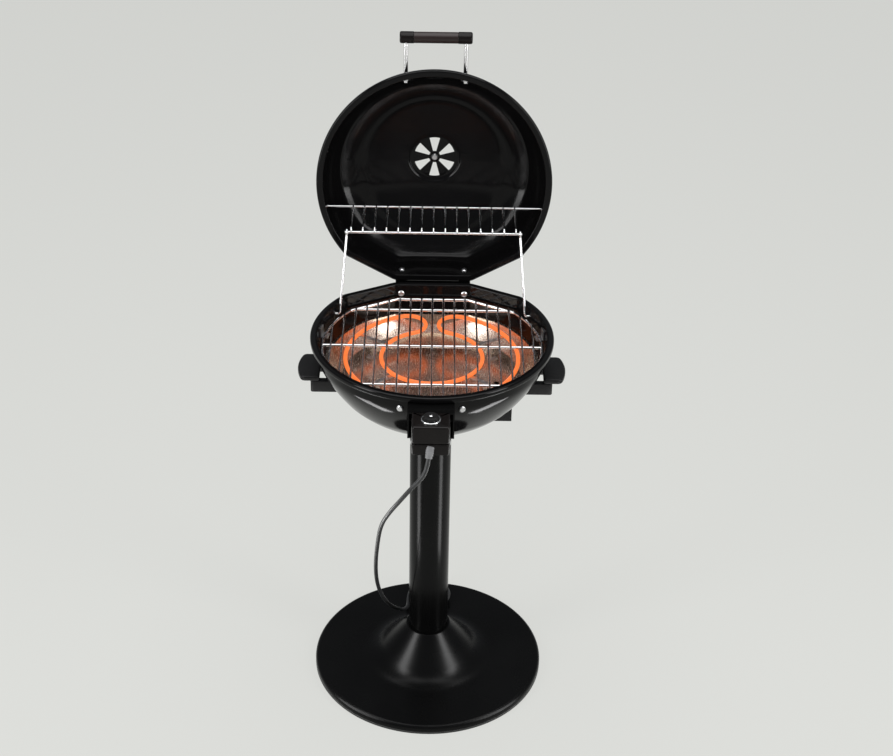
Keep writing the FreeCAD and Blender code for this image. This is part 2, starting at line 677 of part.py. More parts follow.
bolt_angle = math.asin(float(d.front_bolt_x) / float(wall_radius))
front_turns = [bolt_down((side * math.sin(bolt_angle), -math.cos(bolt_angle), 0)) for side in (-1, 1)]
front_bolt_z = float(d.rim_height - d.front_bolt_drop)
front_reach = Vector(0, 0, float(wall_radius + d.seat_gap))
front_places = [tuple(turn.multVec(front_reach) + Vector(0, 0, front_bolt_z))
                for turn in front_turns]
front_depth = d.shell_wall + d.bracket_thick + d.screw_head_tall + d.seat_gap
front_holes = [hole("front_hole%d" % n, place, turn * DOWN, front_depth)
               for n, (place, turn) in enumerate(zip(front_places, front_turns))]

lead_bores = [rod("lead_bore%d" % n, d.bush_radius + d.fit_gap, d.rim_radius, side * d.lead_half,
                  -d.rim_radius * 1.2, element_z, "y") for n, side in enumerate((-1, 1))]
lead_bore_stop = box("lead_bore_stop", d.rim_radius, d.rim_radius, d.rim_radius, d.rim_radius * -0.5,
                     element_outer * -1, element_z - d.rim_radius / 2)
lead_holes = [cut("lead_hole%d" % n, bore, [lead_bore_stop]) for n, bore in enumerate(lead_bores)]
probe_hole = cut("probe_hole", rod("probe_bore", d.probe_radius + d.seat_gap, d.rim_radius, 0,
                                   -d.rim_radius * 1.2, element_z, "y"), [lead_bore_stop])
leg_bores = [rod("leg_bore", d.rod_radius + d.turn_gap, d.rim_radius * 2, -d.rim_radius,
                 pivot_y, pivot_z, "x")]
cup_mid_x = (d.cup_in + d.cup_out) / 2
drain = rod("drain_bore", d.cup_wall * 2, d.rim_height - cup_z, cup_mid_x, -d.cup_ahead, cup_z)

# Bowl: pressed shell, a sphere trimmed to the plan, and the rim band round its edge

bowl_height = d.sphere_lift * -1 + bowl_sphere - d.bowl_flat
bowl_outside = common("bowl_outside", ball("bowl_ball", bowl_sphere, sphere_middle),
                      prism("bowl_block", d.flange_reach, bowl_bottom, bowl_height))
bowl_inside = common("bowl_inside", ball("bowl_hollow", bowl_sphere - d.shell_wall, sphere_middle),
                     prism("bowl_core", d.flange_reach + d.shell_wall, bowl_bottom + d.shell_wall,
                           bowl_height))
bowl_flange = cut("bowl_flange", prism("flange_block", 0, d.rim_height - d.flange_thick, d.flange_thick),
                  [prism("flange_core", d.flange_reach, d.rim_height - d.flange_thick * 2,
                         d.flange_thick * 3)])
node("bowl_shell", cut("bowl_bored", cut("bowl_wall", bowl_outside, [bowl_inside]),
                       bowl_screw_holes + hinge_bowl_holes + handle_holes + front_holes + lead_holes
                       + [probe_hole, drain] + leg_bores))
node("bowl_rim", bowl_flange)

# Side handles: moulded grips on two arms, bedded on the bowl and screwed from inside

handle_ball = ball("handle_ball", bowl_sphere + d.seat_gap, sphere_middle)
grip_plate = common("grip_plate",
                    box("grip_block", handle_out - handle_in, d.handle_half * 2, d.handle_thick,
                        handle_in, -d.handle_half, handle_top_z - d.handle_thick),
                    rod("grip_bow", d.handle_bow, d.handle_thick, handle_out - d.handle_bow, 0,
                        handle_top_z - d.handle_thick))
arms = [box("arm%d" % n, arm_out - d.collar_radius, d.arm_wide, d.arm_tall, d.collar_radius,
            y, handle_top_z - d.arm_tall)
        for n, y in enumerate((-d.handle_half, d.handle_half - d.arm_wide))]
handle_block = fuse("handle_block", [grip_plate] + arms)
right_handle = cut("handle_bored", handle_block, [handle_ball] + handle_holes[:2])
node("right_handle", right_handle)
left_handle = doc.addObject("Part::Mirroring", "handle_mirror")
left_handle.Source = right_handle
left_handle.Normal = Vector(1, 0, 0)
node("left_handle", left_handle)
node("handle_screws", together("handle_screw_set", [
    screw("handle_screw%d" % n, place, turn, handle_screw_depth)
    for n, (place, turn) in enumerate(zip(handle_places, handle_turns))]))

# Grease cup under the right side of the bowl, its mouth following the bowl

cup_y = -(d.cup_ahead + d.cup_half)
cup_tall = (d.rim_height - cup_z) / 2
cup_block = box("cup_block", d.cup_out - d.cup_in, d.cup_half * 2, cup_tall, d.cup_in, cup_y, cup_z)
cup_core = box("cup_core", d.cup_out - d.cup_in - d.cup_wall * 2, d.cup_half * 2 - d.cup_wall * 2, cup_tall,
               d.cup_in + d.cup_wall, cup_y + d.cup_wall, cup_z + d.cup_wall)
node("grease_cup", cut("cup_hollow", cup_block, [cup_core, handle_ball]))

# Cooking grate: a ring of wire in the shape of the plan, three cross wires in it, bars welded on top of both

ring_inset = float(d.grate_inset)
ring_radius = float(d.rim_radius) - ring_inset
ring_wire = outline(ring_inset)
ring_wire.Placement = Placement(Vector(0, 0, float(grate_z)), Rotation())
ring_tube = sweep(ring_wire.OrderedEdges, d.grate_ring)
bar_z = float(grate_z + d.grate_ring + d.grate_bar - d.weld_depth)
cross_z = bar_z - float(d.grate_bar + d.grate_cross - d.weld_depth / 2)
cross_y = ring_radius - float(d.grate_cross_inset)
cross_wires = []
for y in (-cross_y, 0.0, cross_y):
    half = math.sqrt(ring_radius ** 2 - y * y)
    if y > 0:
        angle = math.radians(float(d.slant_angle))
        half = min(half, (float(slant_reach) - ring_inset - y * math.cos(angle)) / math.sin(angle))
    wire = Part.makeCylinder(float(d.grate_cross), half * 2, Vector(-half, y, cross_z), Vector(1, 0, 0))
    cross_wires.append(wire.cut([ring_tube]))
bar_reach = int((ring_radius - float(d.grate_ring + d.grate_bar)) // float(d.grate_pitch))
grate_bars = []
for n in range(-bar_reach, bar_reach + 1):
    x = n * float(d.grate_pitch)
    front = math.sqrt(ring_radius ** 2 - x * x)
    length = front + rear_reach(ring_inset, x)
    bar = Part.makeCylinder(float(d.grate_bar), length, Vector(x, -front, bar_z), Vector(0, 1, 0))
    grate_bars.append(bar.cut([ring_tube] + cross_wires))
node("grate_ring", made("grate_ring_wire", ring_tube))
node("grate_cross_wires", made("grate_cross_set", Part.makeCompound(cross_wires)))
node("grate_bars", made("grate_bar_set", Part.makeCompound(grate_bars)))

# Tabs on the bowl's wall that carry the grate's ring

rest_top = grate_z - d.grate_ring
wall_inner = wall_radius - d.shell_wall
rest_reach = d.grate_inset - d.flange_reach - d.shell_wall + d.grate_ring * 2
rest_chord = math.sqrt(float(wall_inner) ** 2 - float(d.rest_wide) ** 2 / 4) - float(d.seat_gap)
rests = []
for n, angle in enumerate((-60, -120, 12, 168)):
    shelf = box("rest_shelf%d" % n, rest_reach, d.rest_wide, d.rest_thick, rest_chord - rest_reach,
                d.rest_wide / -2, rest_top - d.rest_thick)
    upright = box("rest_upright%d" % n, d.rest_thick, d.rest_wide, d.rest_tall, rest_chord - d.rest_thick,
                  d.rest_wide / -2, rest_top - d.rest_thick)
    tab = fuse("rest%d" % n, [shelf, upright])
    tab.Placement = Placement(Vector(), Rotation(Vector(0, 0, 1), angle))
    rests.append(tab)
node("grate_rests", together("rest_set", rests))

# Reflector pan: a thin dish that drops into the bowl and hangs by its lip on the tapering wall

pan_floor = d.rim_height - d.pan_floor
pan_lip = d.rim_height - d.pan_lip
pan_tall = d.pan_floor - d.pan_lip
pan_inset = d.flange_reach + d.shell_wall + d.pan_gap
pan_outside = common("pan_outside", ball("pan_ball", bowl_sphere - d.shell_wall - d.pan_gap, sphere_middle),
                     prism("pan_block", pan_inset, pan_floor, pan_tall))
pan_inside = common("pan_inside",
                    ball("pan_hollow", bowl_sphere - d.shell_wall - d.pan_gap - d.pan_sheet, sphere_middle),
                    prism("pan_core", pan_inset + d.pan_sheet, pan_floor + d.pan_sheet, pan_tall))
lip_block = common("lip_block", ball("lip_ball", bowl_sphere - d.shell_wall - d.seat_gap, sphere_middle),
                   prism("lip_plan", d.flange_reach + d.shell_wall + d.seat_gap, pan_lip - d.pan_sheet,
                         d.pan_sheet))
node("reflector_pan", cut("pan_bored", fuse("pan_dish", [
    cut("pan_wall", pan_outside, [pan_inside]), cut("pan_rim", lip_block, [pan_inside])]), [drain]))

# Heating element: one sheathed tube, two nested loops that turn back at the rear, leads at the front


def element_path():
    """Lead, bend, outer loop, turn, inner loop, turn, outer loop, bend, lead, all tangent."""
    outer, inner = float(element_outer), float(element_inner)
    lead, bend, end = float(d.lead_half), float(d.lead_bend), float(lead_end)
    z = float(element_z)
    turn = math.radians(float(d.element_turn))
    half_turn = (outer - inner) / 2

    def polar(radius, angle):
        return Vector(radius * math.cos(angle), radius * math.sin(angle), z)

    bend_x = lead + bend
    bend_y = -math.sqrt((outer + bend) ** 2 - bend_x ** 2)
    bend_middle = Vector(bend_x, bend_y, z)
    touch = bend_middle + (Vector(0, 0, z) - bend_middle).normalize() * bend
    touch_angle = math.atan2(touch.y, touch.x)
    lead_top = Vector(lead, bend_y, z)
    corner = bend_middle + ((lead_top - bend_middle) + (touch - bend_middle)).normalize() * bend
    turn_middle = polar((outer + inner) / 2, turn)
    tip = turn_middle + Vector(-math.sin(turn), math.cos(turn), 0) * half_turn
    right = [
        Part.LineSegment(Vector(lead, -end, z), lead_top),
        Part.Arc(lead_top, corner, touch),
        Part.Arc(touch, polar(outer, (touch_angle + turn) / 2), polar(outer, turn)),
        Part.Arc(polar(outer, turn), tip, polar(inner, turn)),
        Part.Arc(polar(inner, turn), polar(inner, (turn - math.pi / 2) / 2), polar(inner, -math.pi / 2)),
    ]
    left = []
    for curve in reversed(right):
        ends = [Vector(-p.x, p.y, p.z) for p in (curve.EndPoint, curve.StartPoint)]
        if isinstance(curve, Part.LineSegment):
            left.append(Part.LineSegment(*ends))
        else:
            middle = curve.value((curve.FirstParameter + curve.LastParameter) / 2)
            left.append(Part.Arc(ends[0], Vector(-middle.x, middle.y, middle.z), ends[1]))
    return [curve.toShape() for curve in right + left]


node("heating_element", made("element_tube", sweep(element_path(), d.element_radius)))

# Strips that carry both loops of the element on the floor of the pan

stand_top = element_z - d.element_radius
stand_foot = pan_floor + d.pan_sheet
stand_in = element_inner - d.stand_wide
stand_long = element_outer - element_inner + d.stand_wide * 2
stands = []
for n, angle in enumerate((-40, -140, 32, 148)):
    beam = box("stand_beam%d" % n, stand_long, d.stand_wide, d.stand_thick, stand_in, d.stand_wide / -2,
               stand_top - d.stand_thick)
    post = box("stand_post%d" % n, d.stand_thick, d.stand_wide, stand_top - stand_foot,
               stand_in + stand_long / 2, d.stand_wide / -2, stand_foot)
    sole = box("stand_sole%d" % n, d.stand_wide * 2, d.stand_wide, d.stand_thick,
               stand_in + stand_long / 2, d.stand_wide / -2, stand_foot)
    stand = fuse("stand%d" % n, [beam, post, sole])
    stand.Placement = Placement(Vector(), Rotation(Vector(0, 0, 1), angle))
    stands.append(stand)
node("element_stands", together("stand_set", stands))

# Ceramic bushes in the bowl's wall, terminal pins, inner bracket and its bolts

bushes = []
pins = []
for n, side in enumerate((-1, 1)):
    bush = rod("bush_block%d" % n, d.bush_radius, d.bush_long, side * d.lead_half, -lead_end, element_z, "y")
    bore = rod("bush_bore%d" % n, d.element_radius + d.fit_gap, d.bush_long * 2, side * d.lead_half,
               d.bush_long * -0.5 - lead_end, element_z, "y")
    bushes.append(cut("bush%d" % n, bush, [bore]))
    pins.append(rod("contact%d" % n, d.contact_radius, d.contact_long, side * d.lead_half,
                    d.contact_long * -1 - lead_end, element_z, "y"))
node("element_bushings", together("bush_set", bushes))
node("terminal_pins", together("contact_set", pins))

bracket_z = front_bolt_z - d.bracket_tall / 2
bracket_ring = cut("bracket_ring",
                   rod("bracket_disc", wall_inner - d.seat_gap, d.bracket_tall, 0, 0, bracket_z),
                   [rod("bracket_core", wall_inner - d.seat_gap - d.bracket_thick, d.bracket_tall,
                        0, 0, bracket_z)])
bracket = common("bracket_strip", bracket_ring,
                 box("bracket_window", d.bracket_half * 2, d.rim_radius, d.bracket_tall, -d.bracket_half,
                     -d.rim_radius, bracket_z))
node("terminal_bracket", cut("bracket_bored", bracket, front_holes))
node("front_bolts", together("front_bolt_set", [
    screw("front_bolt%d" % n, place, turn * DOWN, front_depth)
    for n, (place, turn) in enumerate(zip(front_places, front_turns))]))

# Terminal shroud: a short box tube on the front of the bowl that takes the control's nose

shroud_z = d.rim_height - d.flange_thick - d.shroud_drop - d.shroud_tall
shroud_block = box("shroud_block", d.shroud_half * 2, shroud_front, d.shroud_tall, -d.shroud_half,
                   -shroud_front, shroud_z)
shroud_core = box("shroud_core", (d.shroud_half - d.shroud_wall) * 2, shroud_front * 2,
                  d.shroud_tall - d.shroud_wall * 2, d.shroud_wall - d.shroud_half, -shroud_front * 1.5,
                  shroud_z + d.shroud_wall)
bowl_bed = common("bowl_bed", handle_ball,
                  prism("bed_block", d.flange_reach - d.seat_gap, bowl_bottom, bowl_height))
rear_half = box("rear_half", d.rim_radius * 2, d.rim_radius, d.rim_height, -d.rim_radius,
                element_outer * -1, bowl_bottom)
node("terminal_shroud", cut("shroud_open", shroud_block, [shroud_core, bowl_bed, rear_half]))

# Control: two case halves with a nose in the shroud, probe, dial and silver bezel

case_long = control_front - shroud_front
case = pushed("case_body", "XY_Plane", (
    (-d.control_half, -control_front), (d.control_half, -control_front),
    (d.control_half, -shroud_front), (-d.control_half, -shroud_front)), d.control_tall)
softened(case, d.control_round, lambda edge: upright_edge(edge) and
         edge.Vertexes[0].Point.y < float(d.control_round - control_front))
seat(case, 0, 0, control_bottom)
nose_half = d.shroud_half - d.shroud_wall - d.turn_gap
nose_z = shroud_z + d.shroud_wall + d.turn_gap
nose_tall = d.shroud_tall - d.shroud_wall * 2 - d.turn_gap * 2
nose = common("nose", box("nose_block", nose_half * 2, d.nose_deep * 2, nose_tall, -nose_half,
                          -shroud_front - d.nose_deep, nose_z),
              box("nose_window", d.control_half * 2, d.nose_deep * 2, d.control_tall, -d.control_half,
                  -shroud_front - d.nose_deep, control_bottom))
whole_case = fuse("whole_case", [case, nose])
contact_bores = [rod("contact_bore%d" % n, d.contact_radius + d.fit_gap, d.contact_long + d.fit_gap,
                     side * d.lead_half, d.contact_long * -1 - lead_end - d.fit_gap, element_z, "y")
                 for n, side in enumerate((-1, 1))]
probe_long = shroud_front - probe_tip + d.nose_deep
probe_bore = rod("probe_socket", d.probe_radius + d.fit_gap, probe_long + d.fit_gap, 0,
                 -shroud_front - d.nose_deep - d.fit_gap, element_z, "y")
shaft_long = d.control_tall - d.control_split
shaft_bore = rod("shaft_bore", d.dial_shaft + d.turn_gap, shaft_long, 0, dial_y,
                 control_top - shaft_long / 2)
case_screw_places = [(side * (d.control_half - d.screw_head * 1.6), -control_front + d.screw_head * 2.4,
                      control_bottom) for side in (-1, 1)]
case_screw_depth = d.control_split + d.screw_head
case_holes = [hole("case_hole%d" % n, place, UP, case_screw_depth)
              for n, place in enumerate(case_screw_places)]
split_z = control_bottom + d.control_split
low_block = box("case_low", d.control_half * 2, control_front, d.control_split, -d.control_half,
                -control_front, control_bottom)
high_block = box("case_high", d.control_half * 2, control_front, d.control_tall - d.control_split,
                 -d.control_half, -control_front, split_z)
case_bores = contact_bores + [probe_bore] + case_holes

tilt = math.radians(float(d.relief_tilt))
lean = math.radians(float(d.relief_lean))
relief_turn = bolt_down((-math.sin(lean), -math.cos(lean) * math.sin(tilt), -math.cos(lean) * math.cos(tilt)))
relief_root = (0, -control_front + d.relief_end, control_bottom + d.relief_height)
relief_cone = doc.addObject("Part::Cone", "relief_cone")
bind(relief_cone, "Radius1", d.relief_top)
bind(relief_cone, "Radius2", d.relief_end)
bind(relief_cone, "Height", d.relief_long)
seat(relief_cone, relief_root[0], relief_root[1], relief_root[2], relief_turn)
relief_start = Vector(*[float(size) for size in relief_root])
relief_axis = relief_turn.multVec(Vector(0, 0, 1))
lead_start = relief_start + relief_axis * float(d.relief_long)

node("control_lower_case", cut("case_lower", common("case_lower_half", whole_case, low_block),
                               case_bores + [relief_cone]))
node("control_upper_case", cut("case_upper", common("case_upper_half", whole_case, high_block),
                               case_bores + [shaft_bore, relief_cone]))
node("case_screws", together("case_screw_set", [
    screw("case_screw%d" % n, place, UP, case_screw_depth) for n, place in enumerate(case_screw_places)]))
node("strain_relief", relief_cone)
node("probe", rod("probe_rod", d.probe_radius, probe_long, 0, -shroud_front - d.nose_deep, element_z, "y"))
bezel_in = d.dial_radius + d.turn_gap
node("dial_bezel", seat(turned("bezel_body", (
    (bezel_in, 0), (bezel_in + d.bezel_wide, 0), (bezel_in + d.bezel_wide, d.bezel_tall * 0.6),
    (bezel_in + d.bezel_wide * 0.6, d.bezel_tall), (bezel_in, d.bezel_tall))), 0, dial_y, control_top))
cap_seat = d.dial_tall * 0.85
knob = turned("knob_body", (
    (0, -shaft_long / 2 + d.turn_gap), (d.dial_shaft, -shaft_long / 2 + d.turn_gap),
    (d.dial_shaft, d.turn_gap),
    (d.dial_radius, d.turn_gap), (d.dial_radius * 0.92, d.dial_tall * 0.85),
    (d.dial_radius * 0.8, d.dial_tall),
    (d.dial_shaft, d.dial_tall), (d.dial_shaft, cap_seat), (0, cap_seat)))
node("dial_knob", seat(knob, 0, dial_y, control_top))
node("dial_cap", seat(turned("cap_body", (
    (0, cap_seat), (d.dial_shaft - d.fit_gap, cap_seat), (d.dial_shaft - d.fit_gap, d.dial_tall),
    (0, d.dial_tall * 1.12))), 0, dial_y, control_top))

# Lead: straight runs with tangent arcs to the coil behind the pole, the coil, its tie and the plug

ARC_SHARE = 0.45


def rounded(points):
    """Lines through the points with an arc at each as large as its runs allow, and the arcs' radii."""
    points = [Vector(*point) for point in points]
    edges = []
    radii = []
    start = points[0]
    for before, here, after in zip(points, points[1:], points[2:]):
        back = (before - here)
        ahead = (after - here)
        share = min(back.Length, ahead.Length) * ARC_SHARE
        half_turn = (math.pi - back.getAngle(ahead)) / 2
        radius = share / math.tan(half_turn)
        back.normalize()
        ahead.normalize()
        first = here + back * share
        last = here + ahead * share
        middle = here + (back + ahead).normalize() * (radius / math.cos(half_turn) - radius)
        edges.append(Part.LineSegment(start, first).toShape())
        edges.append(Part.Arc(first, middle, last).toShape())
        radii.append(radius)
        start = last
    edges.append(Part.LineSegment(start, points[-1]).toShape())
    return edges, radii


def arc_from(start, tangent, end):
    """The arc that leaves start along a tangent and reaches end."""
    chord = end - start
    half = chord.getAngle(tangent)
    unit = Vector(chord).normalize()
    aside = tangent - unit * tangent.dot(unit)
    middle = start + chord * 0.5 + aside.normalize() * (chord.Length / 2 * math.tan(half / 2))
    return Part.Arc(start, middle, end)


def biarc(start, leave, end, arrive):
    """Two arcs that join two points with given directions."""
    span = end - start
    both = leave + arrive
    bend = 2 * (1 - leave.dot(arrive))
    reach = (math.sqrt(span.dot(both) ** 2 + bend * span.dot(span)) - span.dot(both)) / bend
    joint = (start + end + (leave - arrive) * reach) * 0.5
    second = arc_from(end, arrive * -1, joint)
    middle = second.value((second.FirstParameter + second.LastParameter) / 2)
    return [arc_from(start, leave, joint), Part.Arc(joint, middle, end)]


cord_d = float(d.cord_radius) * 2
step = float(d.coil_step)
coil_z = float(d.base_top + d.tie_thick + d.seat_gap + d.turn_gap * 2 + d.cord_radius)
coil_outer = float(d.coil_radius) + step / 2
coil_inner = coil_outer - step
full_turn = 2 * math.pi
plug_z = coil_z + step + float(d.cord_radius + d.plug_radius + d.seat_gap)
CLIMB_DIP = 0.25
TAIL_SWELL = 0.3
TAIL_TUCK = 9.0
QUARTERS = 12


def coil_place(angle):
    """Radius and height of the coil's line: in a turn, up in half a turn, out a turn, up to the plug."""
    if angle < full_turn:
        return coil_outer - step * angle / full_turn, coil_z
    angle -= full_turn
    if angle < math.pi:
        return coil_inner - CLIMB_DIP * step * math.sin(angle), coil_z + step * (0.5 - 0.5 * math.cos(angle))
    angle -= math.pi
    if angle < full_turn:
        return coil_inner + step * angle / full_turn, coil_z + step
    share = (angle - full_turn) / math.pi
    swell = TAIL_SWELL * step * math.sin(math.pi * share) - TAIL_TUCK * share ** 3
    rise = plug_z - coil_z - step
    return coil_outer + swell, coil_z + step + rise * share * share * (3 - 2 * share)


def coil_point(angle):
    """The point of the coil's line at an angle run from its left side, clockwise from above."""
    radius, height = coil_place(angle)
    around = math.pi - angle
    return Vector(radius * math.cos(around), float(d.coil_back) + radius * math.sin(around), height)


def coil_heading(angle):
    """The direction of the coil's line."""
    nudge = 1e-4
    return (coil_point(angle + nudge) - coil_point(angle - nudge)).normalize()


coil_start = coil_point(0)
start_heading = Vector(0, 1, 0)
quarters = [math.pi / 2 * n for n in range(QUARTERS + 1)]
headings = [start_heading] + [coil_heading(angle) for angle in quarters[1:]]
headings[-1] = Vector(headings[-1].x, headings[-1].y, 0).normalize()
coil_curves = [Part.LineSegment(coil_start - start_heading * cord_d, coil_start)]
for n in range(QUARTERS):
    coil_curves += biarc(coil_point(quarters[n]), headings[n], coil_point(quarters[n + 1]), headings[n + 1])
coil_stop = coil_point(quarters[-1])
plug_face = coil_stop + headings[-1] * cord_d
coil_curves.append(Part.LineSegment(coil_stop, plug_face))
coil_path = [curve.toShape() for curve in coil_curves]
node("cord_coil", made("coil_tube", sweep(coil_path, d.cord_radius)))
coil_length = sum(edge.Length for edge in coil_path)

samples = [point for edge in coil_path for point in edge.discretize(24)]
apart = len(samples) // 8
least = min((a - b).Length for i, a in enumerate(samples) for b in samples[i + apart:])
print("coil: length %.1f, least gap to itself %.2f" % (coil_length, least - cord_d))

coil_entry = coil_start - start_heading * cord_d
entry_lead = coil_entry - start_heading * (cord_d * 2)
route = [tuple(lead_start), tuple(lead_start + relief_axis * (cord_d * 2.3))]
route += list(LEAD_ROUTE) + [tuple(entry_lead), tuple(coil_entry)]
lead_edges, lead_radii = rounded(route)
lead_shape = sweep(lead_edges, d.cord_radius)
lead_length = sum(edge.Length for edge in lead_edges)
print("lead: length %.1f, radii %s" % (lead_length, " ".join("%.0f" % radius for radius in lead_radii)))
print("lead: runs %s" % " ".join("%.0f" % (Vector(*b) - Vector(*a)).Length for a, b in zip(route, route[1:])))
print("lead: volume over section times length %.5f" % (
    lead_shape.Volume / (math.pi * float(d.cord_radius) ** 2 * lead_length)))
print("lead and coil together %.1f" % (lead_length + coil_length))
node("cord_run", made("lead_tube", lead_shape))

TIE_ANGLE = 60
bundle_gap = float(d.cord_radius + d.turn_gap * 2)
bundle_in = coil_inner - CLIMB_DIP * step - bundle_gap
bundle_wide = coil_outer + bundle_gap - bundle_in
bundle_tall = step + bundle_gap * 2
bundle_z = coil_z - bundle_gap
tie_block = box("tie_block", bundle_wide + d.tie_thick * 2, d.tie_wide, bundle_tall + d.tie_thick * 2,
                bundle_in - d.tie_thick, d.tie_wide / -2, bundle_z - d.tie_thick)
tie_core = box("tie_core", bundle_wide, d.tie_wide * 2, bundle_tall, bundle_in, -d.tie_wide, bundle_z)
tie = cut("tie", tie_block, [tie_core])
tie.Placement = Placement(Vector(0, float(d.coil_back), 0), Rotation(Vector(0, 0, 1), TIE_ANGLE))
node("cord_tie", tie)

plug_turn = Placement(plug_face, Rotation(Vector(1, 0, 0), headings[-1]))
plug_body = pushed("plug_block", "XY_Plane", (
    (0, -d.relief_end), (0, d.relief_end), (d.plug_long * 0.35, d.plug_wide), (d.plug_long, d.plug_wide),
    (d.plug_long, -d.plug_wide), (d.plug_long * 0.35, -d.plug_wide)), d.plug_radius * 2)
softened(plug_body, d.relief_end * 0.7, lambda edge: not upright_edge(edge) and
         isinstance(edge.Curve, Part.Line) and abs(edge.Curve.Direction.y) < 0.99)
plug_body.Placement = plug_turn * Placement(Vector(0, 0, -float(d.plug_radius)), Rotation())
node("plug_body", plug_body)
blades = [box("blade%d" % n, d.blade_long, d.blade_thick, d.blade_wide, d.plug_long,
              side * d.blade_half - d.blade_thick / 2, d.blade_wide / -2) for n, side in enumerate((-1, 1))]
blade_set = together("blade_set", blades)
node("plug_pins", blade_set, plug_turn)

# Hinge: a leaf on each rear wall, knuckles on one long pin


def leaf(name, knuckles, arm_start, arm_long, arm_low, plate_low):
    """A hinge leaf: plate on the wall, an arm past the rim, and knuckles, on straps if the axis is lower."""
    arm_out = hinge_y + d.knuckle_radius
    pieces = [box(name + "_plate", d.hinge_half * 2, d.leaf_thick, d.leaf_tall,
                  -d.hinge_half, rear_wall, plate_low),
              box(name + "_arm", arm_long, arm_out - rear_wall, d.leaf_thick, arm_start, rear_wall, arm_low)]
    strap_tall = arm_low + d.leaf_thick - hinge_z
    for n, (start, long) in enumerate(knuckles):
        if float(strap_tall) > float(d.leaf_thick):
            pieces.append(box("%s_strap%d" % (name, n), long, d.leaf_thick, strap_tall, start,
                              arm_out - d.leaf_thick, hinge_z))
        pieces.append(rod("%s_knuckle%d" % (name, n), d.knuckle_radius, long, start, hinge_y, hinge_z, "x"))
    return fuse(name + "_whole", pieces)


knuckle_mid = d.hinge_half * 0.68
outer_long = d.hinge_half - knuckle_mid - d.turn_gap
bowl_knuckles = ((-knuckle_mid, knuckle_mid * 2),)
lid_knuckles = ((knuckle_mid + d.turn_gap, outer_long), (-d.hinge_half, outer_long))
pin_half = d.hinge_half + d.leaf_thick
pin_fit = rod("pin_fit", d.pin_radius + d.fit_gap, pin_half * 2, -pin_half, hinge_y, hinge_z, "x")
bowl_leaf = leaf("bowl_leaf", bowl_knuckles, -knuckle_mid, knuckle_mid * 2, hinge_z - d.leaf_thick,
                 leaf_top - d.leaf_tall)
node("hinge_bowl_leaf", cut("bowl_leaf_bored", bowl_leaf, [pin_fit] + hinge_bowl_holes))
node("hinge_bowl_screws", together("hinge_bowl_screw_set", [
    screw("hinge_bowl_screw%d" % n, place, BACK, hinge_screw_depth)
    for n, place in enumerate(hinge_bowl_places)]))
node("hinge_pin", rod("hinge_pin_rod", d.pin_radius, pin_half * 2, -pin_half, hinge_y, hinge_z, "x"))

# The lid and all that rides on it are drawn closed and stand open at rest.

open_turn = Rotation(Vector(1, 0, 0), -float(d.open_angle))
hinge_line = Vector(0, float(hinge_y), float(hinge_z))
lid_open = Placement(hinge_line - open_turn.multVec(hinge_line), open_turn)

lid_leaf_low = lid_foot + d.flange_thick + d.leaf_arm
hinge_lid_z = lid_leaf_low + d.leaf_tall * 0.4
hinge_lid_places = [(side * d.hinge_screw_x, rear_wall - d.shell_wall, hinge_lid_z) for side in (-1, 1)]
hinge_lid_holes = [hole("hinge_lid_hole%d" % n, place, BACK, hinge_screw_depth)
                   for n, place in enumerate(hinge_lid_places)]
turn_fit = rod("turn_fit", d.pin_radius + d.turn_gap, pin_half * 2, -pin_half, hinge_y, hinge_z, "x")
lid_leaf = leaf("lid_leaf", lid_knuckles, -d.hinge_half, d.hinge_half * 2, lid_leaf_low, lid_leaf_low)
node("hinge_lid_leaf", cut("lid_leaf_bored", lid_leaf, [turn_fit] + hinge_lid_holes), lid_open)
node("hinge_lid_screws", together("hinge_lid_screw_set", [
    screw("hinge_lid_screw%d" % n, place, BACK, hinge_screw_depth)
    for n, place in enumerate(hinge_lid_places)]), lid_open)

# Lid: pressed shell with a straight side, round shoulder and raised crown, and the rim band round its edge


def dome(inset):
    """The lid's round form drawn in by inset, turned about the pole's axis."""
    inset = float(inset)
    foot = float(lid_foot)
    wall = float(wall_radius) - inset
    side = foot + float(d.lid_side)
    ring = float(crown_radius)
    ring_z = foot + float(d.crown_side) - inset
    top = foot + float(d.lid_depth) - inset
    across, tall = wall - ring, ring_z - side
    bend = (across ** 2 + tall ** 2) / (2 * across)
    middle = Vector(wall - bend, 0, side)
    shoulder = middle + (Vector(wall, 0, side) + Vector(ring, 0, ring_z) - middle * 2).normalize() * bend
    sag = top - ring_z
    crown = (ring ** 2 + sag ** 2) / (2 * sag)
    half = ring / 2
    crown_mid = Vector(half, 0, top - crown + math.sqrt(crown ** 2 - half ** 2))
    edges = [
        Part.LineSegment(Vector(0, 0, foot), Vector(wall, 0, foot)),
        Part.LineSegment(Vector(wall, 0, foot), Vector(wall, 0, side)),
        Part.Arc(Vector(wall, 0, side), shoulder, Vector(ring, 0, ring_z)),
        Part.Arc(Vector(ring, 0, ring_z), crown_mid, Vector(0, 0, top)),
        Part.LineSegment(Vector(0, 0, top), Vector(0, 0, foot)),
    ]
    face = Part.Face(Part.Wire([edge.toShape() for edge in edges]))
    return face.revolve(Vector(), Vector(0, 0, 1), 360)


